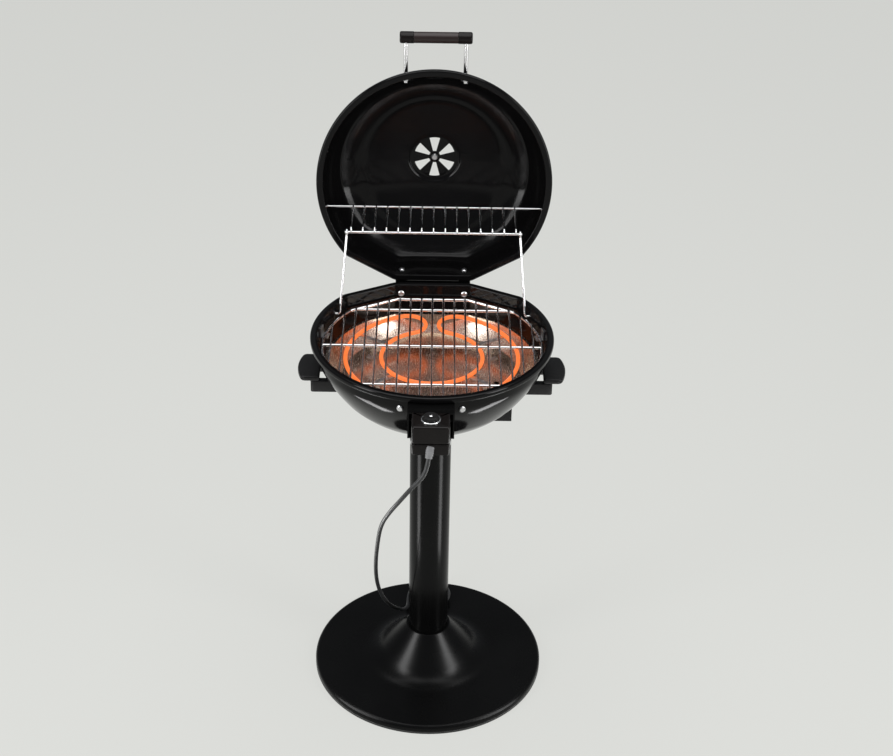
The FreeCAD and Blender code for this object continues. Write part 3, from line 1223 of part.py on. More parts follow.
vent_y = -d.vent_offset
vent_top = lid_foot + d.lid_depth + d.shell_wall / 2
lid_tall = d.lid_depth * 2
lid_outside = fuse("lid_outside", [
    common("lid_outer_form", made("lid_outer_dome", dome(0)),
           prism("lid_block", d.flange_reach, lid_foot, lid_tall)),
    rod("vent_boss", d.vent_seat, d.lid_depth - d.crown_side, 0, vent_y,
        vent_top - d.lid_depth + d.crown_side)])
lid_inside = fuse("lid_inside", [
    common("lid_inner_form", made("lid_inner_dome", dome(d.shell_wall)),
           prism("lid_core", d.flange_reach + d.shell_wall, lid_foot, lid_tall)),
    rod("vent_recess", d.vent_seat - d.shell_wall, d.lid_depth - d.crown_side, 0, vent_y,
        vent_top - d.shell_wall - d.lid_depth + d.crown_side)])
lid_flange = cut("lid_flange", prism("lid_flange_block", 0, lid_foot, d.flange_thick),
                 [prism("lid_flange_core", d.flange_reach, lid_foot - d.flange_thick, d.flange_thick * 3)])


def vent_slots(name, bottom, height):
    """The vent's slots as cutters, the first one pointing to the front of the lid."""
    slots = []
    for n in range(VENT_SLOTS):
        wedge = doc.addObject("Part::Cylinder", "%s_wedge%d" % (name, n))
        bind(wedge, "Radius", d.vent_radius)
        bind(wedge, "Height", height)
        bind(wedge, "Angle", d.vent_slot)
        start = 360 * n / VENT_SLOTS - 90 - float(d.vent_slot) / 2
        seat(wedge, 0, vent_y, bottom, Rotation(Vector(0, 0, 1), start))
        hub = rod("%s_hub%d" % (name, n), d.vent_hub, height, 0, vent_y, bottom)
        slots.append(cut("%s_slot%d" % (name, n), wedge, [hub]))
    return slots


rivet_shank = d.rivet_radius / 2
rivet_bore = rod("rivet_bore", rivet_shank + d.fit_gap, d.lid_depth, 0, vent_y,
                 vent_top - d.lid_depth / 2)
post_z = lid_foot + d.post_lift
side_z = lid_foot + d.lid_side
lid_bend = ((float(wall_radius) - float(crown_radius)) ** 2
            + float(d.crown_side - d.lid_side) ** 2) / (2 * (float(wall_radius) - float(crown_radius)))
post_above = max(float(post_z) - float(side_z), 0.0)
post_shell = float(wall_radius) - lid_bend + math.sqrt(lid_bend ** 2 - post_above ** 2)
post_wall = math.sqrt(post_shell ** 2 - float(d.post_half) ** 2)
grip_y = -post_wall - d.grip_space - d.grip_radius
stud_long = d.post_radius * 3
post_bores = [rod("post_bore%d" % n, d.post_radius + d.fit_gap, stud_long * 4, side * d.post_half,
                  -post_wall - stud_long * 2, post_z, "y") for n, side in enumerate((-1, 1))]
rear_rod_y = hinge_y - d.rack_reach
rear_rod_z = hinge_z + d.rack_lift
rack_bore = rod("rack_bore", d.rod_radius + d.turn_gap, d.rim_radius * 2, -d.rim_radius,
                rear_rod_y, rear_rod_z, "x")
node("lid_shell", cut("lid_bored", cut("lid_wall", lid_outside, [lid_inside]),
                      vent_slots("lid_vent", vent_top - d.lid_depth + d.crown_side, d.lid_depth)
                      + hinge_lid_holes + post_bores + [rivet_bore, rack_bore]), lid_open)
node("lid_rim", lid_flange, lid_open)

# Lid handle: a round grip between two end caps on chrome posts, nuts inside the lid

grip_bar = rod("grip_bar", d.grip_radius, d.grip_half * 2, -d.grip_half, grip_y, post_z, "x")
node("lid_grip", together("grip_alone", [grip_bar]), lid_open)
cap_radius = d.grip_radius * 1.06
cap_edge = d.cap_thick - d.cap_round
caps = []
for n, side in enumerate((-1, 1)):
    socket = rod("cap_socket%d" % n, d.post_radius + d.fit_gap, d.grip_radius * 1.2,
                 side * d.post_half, grip_y, post_z, "y")
    cap = turned("cap%d" % n, (
        (0, 0), (cap_radius, 0), (cap_radius, cap_edge),
        (cap_radius - d.cap_round, d.cap_thick), (0, d.cap_thick)))
    seat(cap, side * d.grip_half, grip_y, post_z, Rotation(Vector(0, 1, 0), 90 * side))
    caps.append(cut("cap_bored%d" % n, cap, [socket]))
node("grip_end_caps", together("grip_cap_set", caps), lid_open)
post_long = d.grip_space + d.grip_radius + stud_long
posts = [rod("post%d" % n, d.post_radius, post_long, side * d.post_half, grip_y, post_z, "y")
         for n, side in enumerate((-1, 1))]
node("handle_posts", together("post_set", posts), lid_open)
nuts = []
nut_reach = float(d.post_half + d.post_radius * 2)
nut_y = math.sqrt((post_shell - float(d.shell_wall)) ** 2 - nut_reach ** 2)
nut_thick = d.post_radius
for n, side in enumerate((-1, 1)):
    hexagon = doc.addObject("Part::Prism", "nut_hex%d" % n)
    hexagon.Polygon = 6
    bind(hexagon, "Circumradius", d.post_radius * 1.9)
    bind(hexagon, "Height", nut_thick)
    seat(hexagon, side * d.post_half, d.seat_gap - nut_y, post_z, ALONG["y"])
    nuts.append(cut("nut%d" % n, hexagon, [post_bores[n]]))
node("handle_nuts", together("nut_set", nuts), lid_open)

# Vent: damper disc with the same slots on the seat outside, rivet and a small knob

damper_z = vent_top + d.turn_gap
damper_disc = rod("damper_disc", d.damper_radius, d.damper_thick, 0, vent_y, damper_z)
damper_bore = rod("damper_bore", rivet_shank + d.turn_gap, d.damper_thick * 4, 0, vent_y,
                  damper_z - d.damper_thick)
damper_slots = vent_slots("damper", damper_z - d.damper_thick, d.damper_thick * 4)
spoke = math.radians(180 / VENT_SLOTS - 90)
knob_x = (d.vent_radius + d.vent_hub) / 2 * math.cos(spoke)
knob_y = vent_y + (d.vent_radius + d.vent_hub) / 2 * math.sin(spoke)
knob_stem = d.damper_thick * 1.5
knob_bore = rod("damper_knob_bore", knob_stem + d.fit_gap, d.damper_thick * 4, knob_x, knob_y,
                damper_z - d.damper_thick)
node("vent_damper", cut("damper", damper_disc, [damper_bore, knob_bore] + damper_slots), lid_open)
rivet_low = vent_top - d.shell_wall
rivet_high = damper_z + d.damper_thick + d.turn_gap
node("vent_rivet", turned("rivet_body", (
    (0, rivet_low - d.rivet_radius / 2), (d.rivet_radius * 0.7, rivet_low - d.rivet_radius / 2),
    (d.rivet_radius, rivet_low), (rivet_shank, rivet_low),
    (rivet_shank, rivet_high), (d.rivet_radius, rivet_high),
    (d.rivet_radius * 0.7, rivet_high + d.rivet_radius / 3), (0, rivet_high + d.rivet_radius / 3))),
    lid_open * Placement(Vector(0, float(vent_y), 0), Rotation()))
knob_top = damper_z + d.damper_thick
node("damper_knob", turned("damper_knob_body", (
    (0, damper_z), (knob_stem, damper_z), (knob_stem, knob_top), (knob_stem * 1.8, knob_top),
    (knob_stem * 2.2, knob_top + d.rivet_radius * 0.7), (knob_stem * 1.9, knob_top + d.rivet_radius * 1.2),
    (0, knob_top + d.rivet_radius * 1.2))),
    lid_open * Placement(Vector(float(knob_x), float(knob_y), 0), Rotation()))

# Warming rack: rear rod in the lid's side walls, front bar in the legs' eyes, wires between them

v_rest = open_turn.multVec(Vector(0, -float(d.rack_reach), float(d.rack_lift)))
rear_rod = hinge_line + v_rest
link = Vector(0, float(d.link_y), float(d.link_z))
front_bar = rear_rod - link
pivot = hinge_line - link
wire_z = rear_rod.z + float(d.rod_radius + d.wire_radius - d.weld_depth)
rod_half = math.sqrt(float(wall_radius) ** 2 - float(rear_rod_y) ** 2) + float(d.rod_past)
foot_out = math.sqrt(float(wall_radius) ** 2 - float(pivot_y) ** 2) + float(d.rod_radius)
leg_foot = foot_out - float(d.leg_inset)
leg_head = leg_foot - float(d.leg_lean)
bar_half = leg_head + float(d.bar_past)
rack_rods = [Part.makeCylinder(float(d.rod_radius), half * 2, Vector(-half, at.y, at.z), Vector(1, 0, 0))
             for half, at in ((rod_half, rear_rod), (bar_half, front_bar))]
wire_reach = int((leg_head - float(d.rod_radius + d.wire_radius + d.turn_gap)) // float(d.wire_pitch))
rack_wires = []
for n in range(-wire_reach, wire_reach + 1):
    x = n * float(d.wire_pitch)
    bend = float(d.wire_bend)
    back = Vector(x, rear_rod.y + float(d.rod_radius), wire_z)
    knee = Vector(x, front_bar.y + bend, wire_z)
    toe = Vector(x, front_bar.y, wire_z - bend)
    middle = Vector(x, front_bar.y + bend * (1 - math.sqrt(0.5)), wire_z - bend * (1 - math.sqrt(0.5)))
    end = Vector(x, front_bar.y, front_bar.z)
    wire = sweep([Part.LineSegment(back, knee).toShape(), Part.Arc(knee, middle, toe).toShape(),
                  Part.LineSegment(toe, end).toShape()], d.wire_radius)
    rack_wires.append(wire.cut(rack_rods))
node("rack_rods", made("rack_rod_set", Part.makeCompound(rack_rods)))
node("rack_wires", made("rack_wire_set", Part.makeCompound(rack_wires)))

# Legs of the rack: a foot pin in the bowl's wall, a leaning shank and an eye round the front bar

eye_ring = float(d.rod_radius * 2 + d.turn_gap)
eye = Vector(leg_head, front_bar.y, front_bar.z)
ankle = Vector(leg_foot, pivot.y, pivot.z)
shank_end = eye + (ankle - eye).normalize() * eye_ring
shank_edges, leg_radii = rounded([(foot_out, pivot.y, pivot.z), tuple(ankle), tuple(shank_end)])
leg_shank = sweep(shank_edges, d.rod_radius)
leg_eye = Part.makeTorus(eye_ring, float(d.rod_radius), eye, Vector(1, 0, 0))
right_leg = leg_shank.fuse(leg_eye)
node("rack_right_leg", made("leg_right", right_leg))
node("rack_left_leg", made("leg_left", right_leg.mirror(Vector(), Vector(1, 0, 0))))

doc.recompute()
faults = [thing.Name for thing in doc.Objects if "Invalid" in thing.State or "Error" in thing.State]
for label, piece in nodes:
    if piece.Shape.isNull() or not piece.Shape.isValid() or not piece.Shape.Solids:
        faults.append(label)
if faults:
    raise RuntimeError("pieces that failed: " + ", ".join(faults))
print("rear rod %s front bar %s pivot %s" % (tuple(rear_rod), tuple(front_bar), tuple(pivot)))
os.makedirs("parts", exist_ok=True)
for label, piece in nodes:
    piece.Shape.exportStep("parts/%s.step" % label)
print("%d sub-parts" % len(nodes))
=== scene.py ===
import json
import math

import bmesh
import bpy
import numpy as np
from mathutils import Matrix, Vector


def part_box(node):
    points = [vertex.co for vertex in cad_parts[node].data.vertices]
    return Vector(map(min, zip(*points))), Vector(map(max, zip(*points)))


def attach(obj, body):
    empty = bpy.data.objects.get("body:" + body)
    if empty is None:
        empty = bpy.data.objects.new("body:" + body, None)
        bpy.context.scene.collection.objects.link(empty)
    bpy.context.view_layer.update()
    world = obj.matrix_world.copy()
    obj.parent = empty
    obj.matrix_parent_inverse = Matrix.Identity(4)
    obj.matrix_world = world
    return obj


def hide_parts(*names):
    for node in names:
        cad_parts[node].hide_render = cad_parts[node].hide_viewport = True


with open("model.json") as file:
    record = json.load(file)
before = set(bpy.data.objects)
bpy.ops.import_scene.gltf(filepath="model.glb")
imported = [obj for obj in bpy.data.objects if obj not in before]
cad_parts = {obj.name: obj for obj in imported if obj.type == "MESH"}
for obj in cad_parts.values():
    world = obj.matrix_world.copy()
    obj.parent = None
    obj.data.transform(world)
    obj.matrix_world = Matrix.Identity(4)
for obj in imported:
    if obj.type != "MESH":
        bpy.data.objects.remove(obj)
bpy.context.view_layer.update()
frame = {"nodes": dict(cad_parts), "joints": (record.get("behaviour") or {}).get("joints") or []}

nodes = frame["nodes"]
joints = {joint["name"]: joint for joint in frame["joints"]}


# Base: one steel disc pressed into a flared hub, enamelled gloss black, on a rubber edge ring.
# A plate under the hub takes the bolt that pulls the pole down.

def soft(corners, steps=8):
    """A run of straight lines whose corners are rounded: each corner is x, y and the radius of its arc."""
    line = [np.array(corners[0][:2], float)[None]]
    for before, here, after in zip(corners, corners[1:], corners[2:]):
        point = np.array(here[:2], float)
        back = np.array(before[:2]) - point
        ahead = np.array(after[:2]) - point
        back /= np.linalg.norm(back)
        ahead /= np.linalg.norm(ahead)
        half = math.acos(np.clip(back @ ahead, -1, 1)) / 2
        if here[2] == 0:
            line.append(point[None])
            continue
        middle = point + (back + ahead) / np.linalg.norm(back + ahead) * here[2] / math.sin(half)
        reach = here[2] / math.tan(half)
        first, last = point + back * reach - middle, point + ahead * reach - middle
        turn = math.atan2(first[0] * last[1] - first[1] * last[0], first @ last)
        angle = np.linspace(0, turn, steps)[:, None]
        side = np.array([-first[1], first[0]])
        line.append(middle + first * np.cos(angle) + side * np.sin(angle))
    line.append(np.array(corners[-1][:2], float)[None])
    return np.concatenate(line)


def turned(profile, steps=144):
    """A profile of radius and height carried round the upright axis: x = r cos a, y = r sin a."""
    angle = np.linspace(0, 2 * np.pi, steps, endpoint=False)
    radius, height = profile[:, :1], profile[:, 1:]
    return np.stack([radius * np.cos(angle), radius * np.sin(angle), height + 0 * angle], -1)


def shown(name, data):
    """A new object of the scene from its mesh, curve, lamp or camera."""
    made = bpy.data.objects.new(name, data)
    bpy.context.scene.collection.objects.link(made)
    return made


def piece(name, body, sheets, sharp=40.0):
    """One object from grids of points: each grid closes round its columns, and what meets is joined."""
    points, faces, start = [], [], 0
    for sheet in sheets:
        rows, columns = sheet.shape[:2]
        index = start + np.arange(rows * columns).reshape(rows, columns)
        beside = np.roll(index, -1, axis=1)
        faces.append(np.stack([index[:-1], beside[:-1], beside[1:], index[1:]], -1).reshape(-1, 4))
        points.append(sheet.reshape(-1, 3))
        start += rows * columns
    one_point, no_length = 2e-6, 1e-7
    mesh = bpy.data.meshes.new(name)
    mesh.from_pydata(np.concatenate(points).tolist(), [], np.concatenate(faces).tolist())
    work = bmesh.new()
    work.from_mesh(mesh)
    bmesh.ops.remove_doubles(work, verts=work.verts, dist=one_point)
    bmesh.ops.dissolve_degenerate(work, edges=work.edges, dist=no_length)
    bmesh.ops.recalc_face_normals(work, faces=work.faces)
    work.to_mesh(mesh)
    work.free()
    mesh.shade_smooth()
    mesh.set_sharp_from_angle(angle=math.radians(sharp))
    made = shown(name, mesh)
    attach(made, body)
    return made


class Value:
    """A shader socket: sums and products of it add Math nodes, and node() adds any other node beside it."""

    def __init__(self, tree, socket=None):
        self.tree = tree
        self.socket = socket

    def node(self, kind, settings, sockets, out=0):
        made = self.tree.nodes.new("ShaderNode" + kind)
        for name, setting in settings.items():
            setattr(made, name, setting)
        for name, value in sockets.items():
            if isinstance(value, Value):
                self.tree.links.new(value.socket, made.inputs[name])
            else:
                made.inputs[name].default_value = value
        return Value(self.tree, made.outputs[out])

    def __add__(self, other):
        return self.node("Math", {"operation": "ADD"}, {0: self, 1: other})

    def __mul__(self, other):
        return self.node("Math", {"operation": "MULTIPLY"}, {0: self, 1: other})

    __radd__ = __add__
    __rmul__ = __mul__


def finish(name, colour, roughness, **steady):
    """A principled material with steady sockets set: the material, its shader and a Value for its nodes."""
    material = bpy.data.materials.new(name)
    material.use_nodes = True
    shader = material.node_tree.nodes["Principled BSDF"]
    shader.inputs["Base Color"].default_value = (*colour, 1)
    shader.inputs["Roughness"].default_value = roughness
    for socket, value in steady.items():
        shader.inputs[socket.replace("_", " ")].default_value = value
    return material, shader, Value(material.node_tree)


def feed(shader, **sockets):
    """Links values to a shader's sockets."""
    for socket, value in sockets.items():
        shader.id_data.links.new(value.socket, shader.inputs[socket.replace("_", " ")])


def grain(draw, scale, detail=2.0, stretch=(1.0, 1.0, 1.0)):
    """Noise in the piece's own space: scale is in grains to the metre, stretch draws it out along an axis."""
    place = draw.node("TexCoord", {}, {}, 3)
    drawn = draw.node("Mapping", {}, {"Vector": place, "Scale": stretch})
    return draw.node("TexNoise", {}, {"Vector": drawn, "Scale": scale, "Detail": detail})


def bump(draw, height, distance):
    """A normal from a height field: distance is the height of its full range in metres."""
    return draw.node("Bump", {}, {"Height": height, "Distance": distance})


def tint(draw, share, low, high):
    """A colour between two by a share."""
    return draw.node("Mix", {"data_type": "RGBA"}, {0: share, 6: (*low, 1), 7: (*high, 1)}, 2)


def mottled(name, colour, roughness, rough, low, high, clouds, relief=None, **steady):
    """A finish whose colour goes from low to high, and its roughness up from rough's first by its second,
    with one noise. clouds are that noise's settings, and relief a finer one's, with its height in metres."""
    material, shader, draw = finish(name, colour, roughness, **steady)
    cloud = grain(draw, *clouds)
    feed(shader, Roughness=rough[0] + cloud * rough[1], Base_Color=tint(draw, cloud, low, high))
    if relief:
        feed(shader, Normal=bump(draw, grain(draw, *relief[:-1]), relief[-1]))
    return material


def dress(material, slot, *names):
    """Gives carried-over nodes a finish."""
    for name in names:
        thing = nodes[name]
        thing.data.materials.clear()
        thing.data.materials.append(material)


def coat(thing, material, slot, *replaced):
    """Gives a new piece its finish and hides the nodes it stands for."""
    thing.data.materials.append(material)
    if replaced:
        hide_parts(*replaced)


def base_enamel():
    """The base's enamel: fired duller than the bowl's, with fine dust on its level disc."""
    material, shader, draw = finish("base_enamel", (0.003, 0.003, 0.003), 0.25, Specular_IOR_Level=0.1)
    haze = grain(draw, 11.0, 3.0)
    dust = grain(draw, 900.0, 2.0) * haze
    feed(shader, Roughness=0.22 + haze * 0.1,
         Base_Color=tint(draw, dust, (0.0022, 0.0022, 0.0023), (0.0065, 0.0065, 0.0064)),
         Normal=bump(draw, grain(draw, 500.0, 1.0), 0.00003))
    return material


dull_enamel = base_enamel()
# Moulded rubber: dull, with a fine grain and dusty tops.
rubber = mottled("rubber_black", (0.018, 0.018, 0.018), 0.6, (0.5, 0.25), (0.012, 0.012, 0.012),
                 (0.030, 0.030, 0.029), (60.0, 4.0), (1800.0, 0.00012))
# Zinc-plated steel: grey metal with soft spangle and turning marks.
zinc = mottled("zinc_plate", (0.60, 0.60, 0.61), 0.3, (0.2, 0.2), (0.52, 0.52, 0.53), (0.72, 0.72, 0.72),
               (260.0, 3.0), (1500.0, 2.0, (1.0, 1.0, 6.0), 0.00005), Metallic=1.0)
# Satin powder coat: even black with a fine leathery texture.
satin_black = mottled("powder_coat", (0.003, 0.003, 0.003), 0.2, (0.15, 0.08), (0.0022, 0.0022, 0.0023),
                      (0.0040, 0.0040, 0.0040), (22.0, 3.0), (1300.0, 2.0, 0.00003), Specular_IOR_Level=0.1)

base_low, base_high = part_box("base_plate")
base_radius, hub_top, base_skirt = base_high.x, base_high.z, base_low.z
base_top, base_sheet = 0.017, 0.0025
neck_in, neck_out, hub_foot = 0.0357, 0.0395, 0.098
hub_flare, edge_round, under_flare, under_round, skirt_edge = 0.055, 0.0078, 0.050, 0.005, 0.0008
neck_foot, skirt_in, base_under = hub_top - 2 * base_sheet, base_radius - base_sheet, base_top - base_sheet
base_profile = soft((
    (neck_in, neck_foot, 0), (neck_in, hub_top, 0.0006), (neck_out, hub_top, 0.0018),
    (hub_foot, base_top, hub_flare), (base_radius, base_top, edge_round),
    (base_radius, base_skirt, skirt_edge), (skirt_in, base_skirt, skirt_edge),
    (skirt_in, base_under, under_round), (hub_foot - base_sheet, base_under, under_flare),
    (neck_in, neck_foot, 0)), 14)
coat(piece("base_pressing", "stand", [turned(base_profile, 220)]), dull_enamel, "black_enamel", "base_plate")

ring_low, ring_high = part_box("base_ring")
ring_wide = 0.007
ring_in = ring_high.x - ring_wide
edge_profile = soft((
    (ring_in, ring_low.z, 0), (ring_high.x, ring_low.z, 0.0014), (ring_high.x, ring_high.z, 0.0006),
    (ring_in, ring_high.z, 0), (ring_in, ring_low.z, 0)))
coat(piece("base_edge_ring", "stand", [turned(edge_profile, 220)]), rubber, "black_rubber", "base_ring")
dress(satin_black, "black_powder", "base_bridge")
dress(zinc, "zinc_steel", "pole_bolt", "pole_washer", "pole_foot")


# Pole: a powder-coated steel tube, bolted to the base and closed above by the collar.
# Its screws at the top hold the collar's sleeve.

pole_low, pole_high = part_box("pole_tube")
pole_radius, pole_wall = pole_high.x, 0.0016
pole_profile = soft((
    (pole_radius - pole_wall, pole_low.z, 0), (pole_radius, pole_low.z, 0.0004),
    (pole_radius, pole_high.z, 0.0005), (pole_radius - pole_wall, pole_high.z, 0.0004),
    (pole_radius - pole_wall, pole_low.z, 0)), 4)
coat(piece("pole_steel_tube", "stand", [turned(pole_profile)]), satin_black, "black_powder", "pole_tube")


# Collar: a black moulding under the bowl, a stepped flange with a sleeve down inside the pole.
# Screws through the pole hold the sleeve, and screws from above hold the bowl on the flange.

# Black moulding compound: a fine spark-eroded grain that softens the light.
moulded = mottled("moulded_black", (0.005, 0.005, 0.005), 0.42, (0.34, 0.14), (0.0045, 0.0044, 0.0045),
                  (0.0090, 0.0086, 0.0086), (30.0, 3.0), (2300.0, 1.0, 0.00006), Specular_IOR_Level=0.2)
collar_low, collar_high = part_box("bowl_collar")
collar_radius, collar_foot = collar_high.x, pole_high.z
collar_step, seat_step, sleeve_play, sleeve_deep, socket_deep = 0.014, 0.008, 0.0002, 0.0058, 0.004
seat_radius, seat_foot = collar_radius - seat_step, collar_foot + collar_step
sleeve_out, sleeve_in = pole_radius - pole_wall - sleeve_play, pole_radius - sleeve_deep
socket_top = collar_foot + socket_deep
collar_profile = soft((
    (0, collar_high.z, 0), (seat_radius, collar_high.z, 0.001), (seat_radius, seat_foot, 0.0015),
    (collar_radius, seat_foot, 0.003), (collar_radius, collar_foot, 0.002), (sleeve_out, collar_foot, 0),
    (sleeve_out, collar_low.z, 0.001), (sleeve_in, collar_low.z, 0.0005), (sleeve_in, socket_top, 0.001),
    (0, socket_top, 0)), 6)
coat(piece("bowl_seat_collar", "stand", [turned(collar_profile)]), moulded, "black_plastic", "bowl_collar")
dress(zinc, "zinc_steel", "collar_screws", "bowl_screws")


# Bowl: a deep pressing, round in front with slanting rear sides and a flat back, enamelled black.
# Its rim is rolled outwards to a bead that the lid closes on.

# Fired black enamel: deep gloss with a faint orange peel and a little haze where it was wiped.
enamel = mottled("gloss_enamel", (0.003, 0.003, 0.003), 0.1, (0.07, 0.07), (0.0024, 0.0023, 0.0024),
                 (0.0045, 0.0043, 0.0045), (14.0, 3.0), (420.0, 1.0, 0.00003), Specular_IOR_Level=0.15)
band_low, band_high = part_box("bowl_rim")
rim_top, rim_radius, rear_flat = band_high.z, band_high.x, band_high.y
flange_thick = band_high.z - band_low.z
slant_cut, slant_angle = 0.0135, math.radians(28.0)
slant_reach = rim_radius - slant_cut
shoulder_round, rear_round = 0.020, 0.024
flange_reach, shell_wall = 0.010, 0.0015
bowl_sphere, sphere_rise = 0.209, 0.045
sphere_middle, bowl_floor = rim_top + sphere_rise, collar_high.z
FRONT_STEPS, SHOULDER_STEPS, CORNER_STEPS, SLANT_STEPS, REAR_STEPS = 64, 14, 12, 16, 8


def rim_plan():
    """Points round the rim from above and the outward direction at each: arcs joined by their tangents."""
    normal = np.array([math.sin(slant_angle), math.cos(slant_angle)])
    along = np.array([math.cos(slant_angle), -math.sin(slant_angle)])
    reach = math.sqrt((rim_radius - shoulder_round) ** 2 - (slant_reach - shoulder_round) ** 2)
    shoulder = normal * (slant_reach - shoulder_round) + along * reach
    corner_y = rear_flat - rear_round
    corner_x = (slant_reach - rear_round - corner_y * math.cos(slant_angle)) / math.sin(slant_angle)
    turn_in = math.atan2(shoulder[1], shoulder[0])
    turn_out = math.pi / 2 - slant_angle
    arcs = (((0, 0), rim_radius, -math.pi / 2, turn_in, FRONT_STEPS),
            (shoulder, shoulder_round, turn_in, turn_out, SHOULDER_STEPS),
            ((corner_x, corner_y), rear_round, turn_out, math.pi / 2, CORNER_STEPS))
    points, normals = [], []
    for middle, radius, start, stop, count in arcs:
        angle = np.linspace(start, stop, count)
        facing = np.stack([np.cos(angle), np.sin(angle)], -1)
        points.append(np.array(middle) + radius * facing)
        normals.append(facing)
    between = np.linspace(0, 1, SLANT_STEPS + 2)[1:-1, None]
    slant = points[1][-1] + (points[2][0] - points[1][-1]) * between
    nearer = between[:REAR_STEPS]
    rear = points[2][-1] * (1 - nearer) + np.array([0, rear_flat]) * nearer
    points = np.concatenate(points[:2] + [slant] + points[2:] + [rear])
    normals = np.concatenate(normals[:2] + [np.repeat(normals[2][:1], len(slant), 0)] + normals[2:]
                             + [np.repeat([[0.0, 1.0]], len(rear), 0)])
    mirror = np.array([-1, 1])
    return [np.concatenate([right, right[:0:-1] * mirror]) for right in (points, normals)]


plan_points, plan_normals = rim_plan()


def plan_ring(inset, height):
    """The rim's plan drawn in by inset at a height."""
    flat = plan_points - plan_normals * inset
    return np.concatenate([flat, np.full((len(flat), 1), height)], 1)


def eased(rows, start, stop, turns):
    """Rounds the crease of a surface by averaging each row with its neighbours between two rows."""
    rows = rows.copy()
    for _ in range(turns):
        rows[start:stop] = (rows[start - 1:stop - 1] + 2 * rows[start:stop] + rows[start + 1:stop + 1]) / 4
    return rows


def bowl_skin(inset, radius, floor, top, dishes=44, walls=22):
    """From the floor's middle out along the sphere to the wall, then up it: z = middle - sqrt(R2 - r2)."""
    edge = plan_points - plan_normals * inset
    crowding = 0.8
    share = np.linspace(0, 1, dishes)[:, None, None] ** crowding
    flat = edge[None] * share
    height = np.maximum(sphere_middle - np.sqrt(radius ** 2 - (flat ** 2).sum(-1)), floor)
    dish = np.concatenate([flat, height[..., None]], -1)
    rise = np.linspace(0, 1, walls)[1:, None]
    wall_height = height[-1] + (top - height[-1]) * rise
    wall = np.concatenate([np.repeat(edge[None], walls - 1, 0), wall_height[..., None]], -1)
    return eased(np.concatenate([dish, wall]), dishes - 10, dishes + 8, 26)


bead, lip_deep, lip_round, seam, seam_round = 0.0034, 0.002, 0.0019, 0.0005, 0.0004


def bead_line(face, away):
    """A rolled rim in section, as inset and height: from the wall's outside round the bead to its inside."""
    back, inner = face + away * flange_thick, flange_reach + shell_wall
    return soft(((flange_reach, back + away * seam, 0), (flange_reach, back, seam_round), (0, back, bead),
                 (0, face, bead), (inner, face, lip_round), (inner, face + away * lip_deep, 0)), 8)


outer_skin = bowl_skin(flange_reach, bowl_sphere, bowl_floor, rim_top - flange_thick)
inner_skin = bowl_skin(flange_reach + shell_wall, bowl_sphere - shell_wall, bowl_floor + shell_wall,
                       rim_top - lip_deep)
rim_rows = np.stack([plan_ring(*spot) for spot in bead_line(rim_top, -1)])
bowl = piece("bowl_pressing", "stand", [np.concatenate([outer_skin, rim_rows, inner_skin[::-1]])], 60.0)
coat(bowl, enamel, "black_enamel", "bowl_shell", "bowl_rim")


# Side handles: moulded grips on two arms each, bedded on the bowl and screwed from inside.
# The outer edge of the grip is bowed.

def slab(outline, low, high, edge, steps=6):
    """A flat moulding from its outline: both faces have rounded edges and close to the middle."""
    ahead = np.roll(outline, -1, 0) - np.roll(outline, 1, 0)
    outward = np.stack([ahead[:, 1], -ahead[:, 0]], -1)
    outward /= np.linalg.norm(outward, axis=1)[:, None]
    turn = np.linspace(0, np.pi / 2, steps)
    inset, lift = edge * (1 - np.sin(turn)), edge * (1 - np.cos(turn))
    middle = np.repeat(outline.mean(0)[None], len(outline), 0)
    rings = [outline - outward * drawn for drawn in inset]
    rings = [middle, *rings, *rings[::-1], middle]
    heights = [low, *(low + lift), *(high - lift[::-1]), high]
    return np.stack([np.concatenate([ring, np.full((len(ring), 1), height)], 1)
                     for ring, height in zip(rings, heights)])


def lens_outline(corners, steps=10):
    """A closed outline with rounded corners, anticlockwise, its straight runs cut at every run_step."""
    run_step = 0.004
    loop = soft(list(corners) + list(corners[:2]), steps)[1:-1]
    ahead = np.roll(loop, -1, 0)
    parts = np.maximum(np.ceil(np.linalg.norm(ahead - loop, axis=1) / run_step).astype(int), 1)
    return np.concatenate([p + (q - p) * np.linspace(0, 1, n, endpoint=False)[:, None]
                           for p, q, n in zip(loop, ahead, parts)])


def flipped(sheets, side):
    """The sheets of the right-hand piece, or their mirror for the left, where side is -1."""
    return [sheet * np.array([side, 1, 1]) for sheet in sheets]


grip_low, grip_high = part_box("right_handle")
handle_out, handle_in, handle_half, grip_thick, grip_edge = grip_high.x, 0.187, 0.038, 0.009, 0.0028
bow, grip_round, inner_round = 0.0079, 0.009, 0.003
bow_half = handle_half - grip_round * 1.2
bow_y = np.linspace(-bow_half, bow_half, 19)
bow_x = handle_out - bow * (bow_y / handle_half) ** 2
grip_outline = lens_outline([
    (handle_in, handle_half, inner_round), (handle_in, -handle_half, inner_round),
    (handle_out - bow, -handle_half, grip_round), *[(x, y, 0.0) for x, y in zip(bow_x, bow_y)],
    (handle_out - bow, handle_half, grip_round)])
grip_foot = grip_high.z - grip_thick
arm_wide, arm_out, arm_edge, arm_round, arm_square = 0.012, 0.202, 0.0015, 0.004, 0.001
arm_drop, arm_bury, arm_gap, arm_join = 0.015, 0.008, 0.0003, 0.0005
arm_deep = sphere_middle - grip_high.z + arm_drop
arm_in = math.sqrt(bowl_sphere ** 2 - arm_deep ** 2 - handle_half ** 2) - arm_bury
handle_sheets = [slab(grip_outline, grip_foot, grip_high.z, grip_edge)]
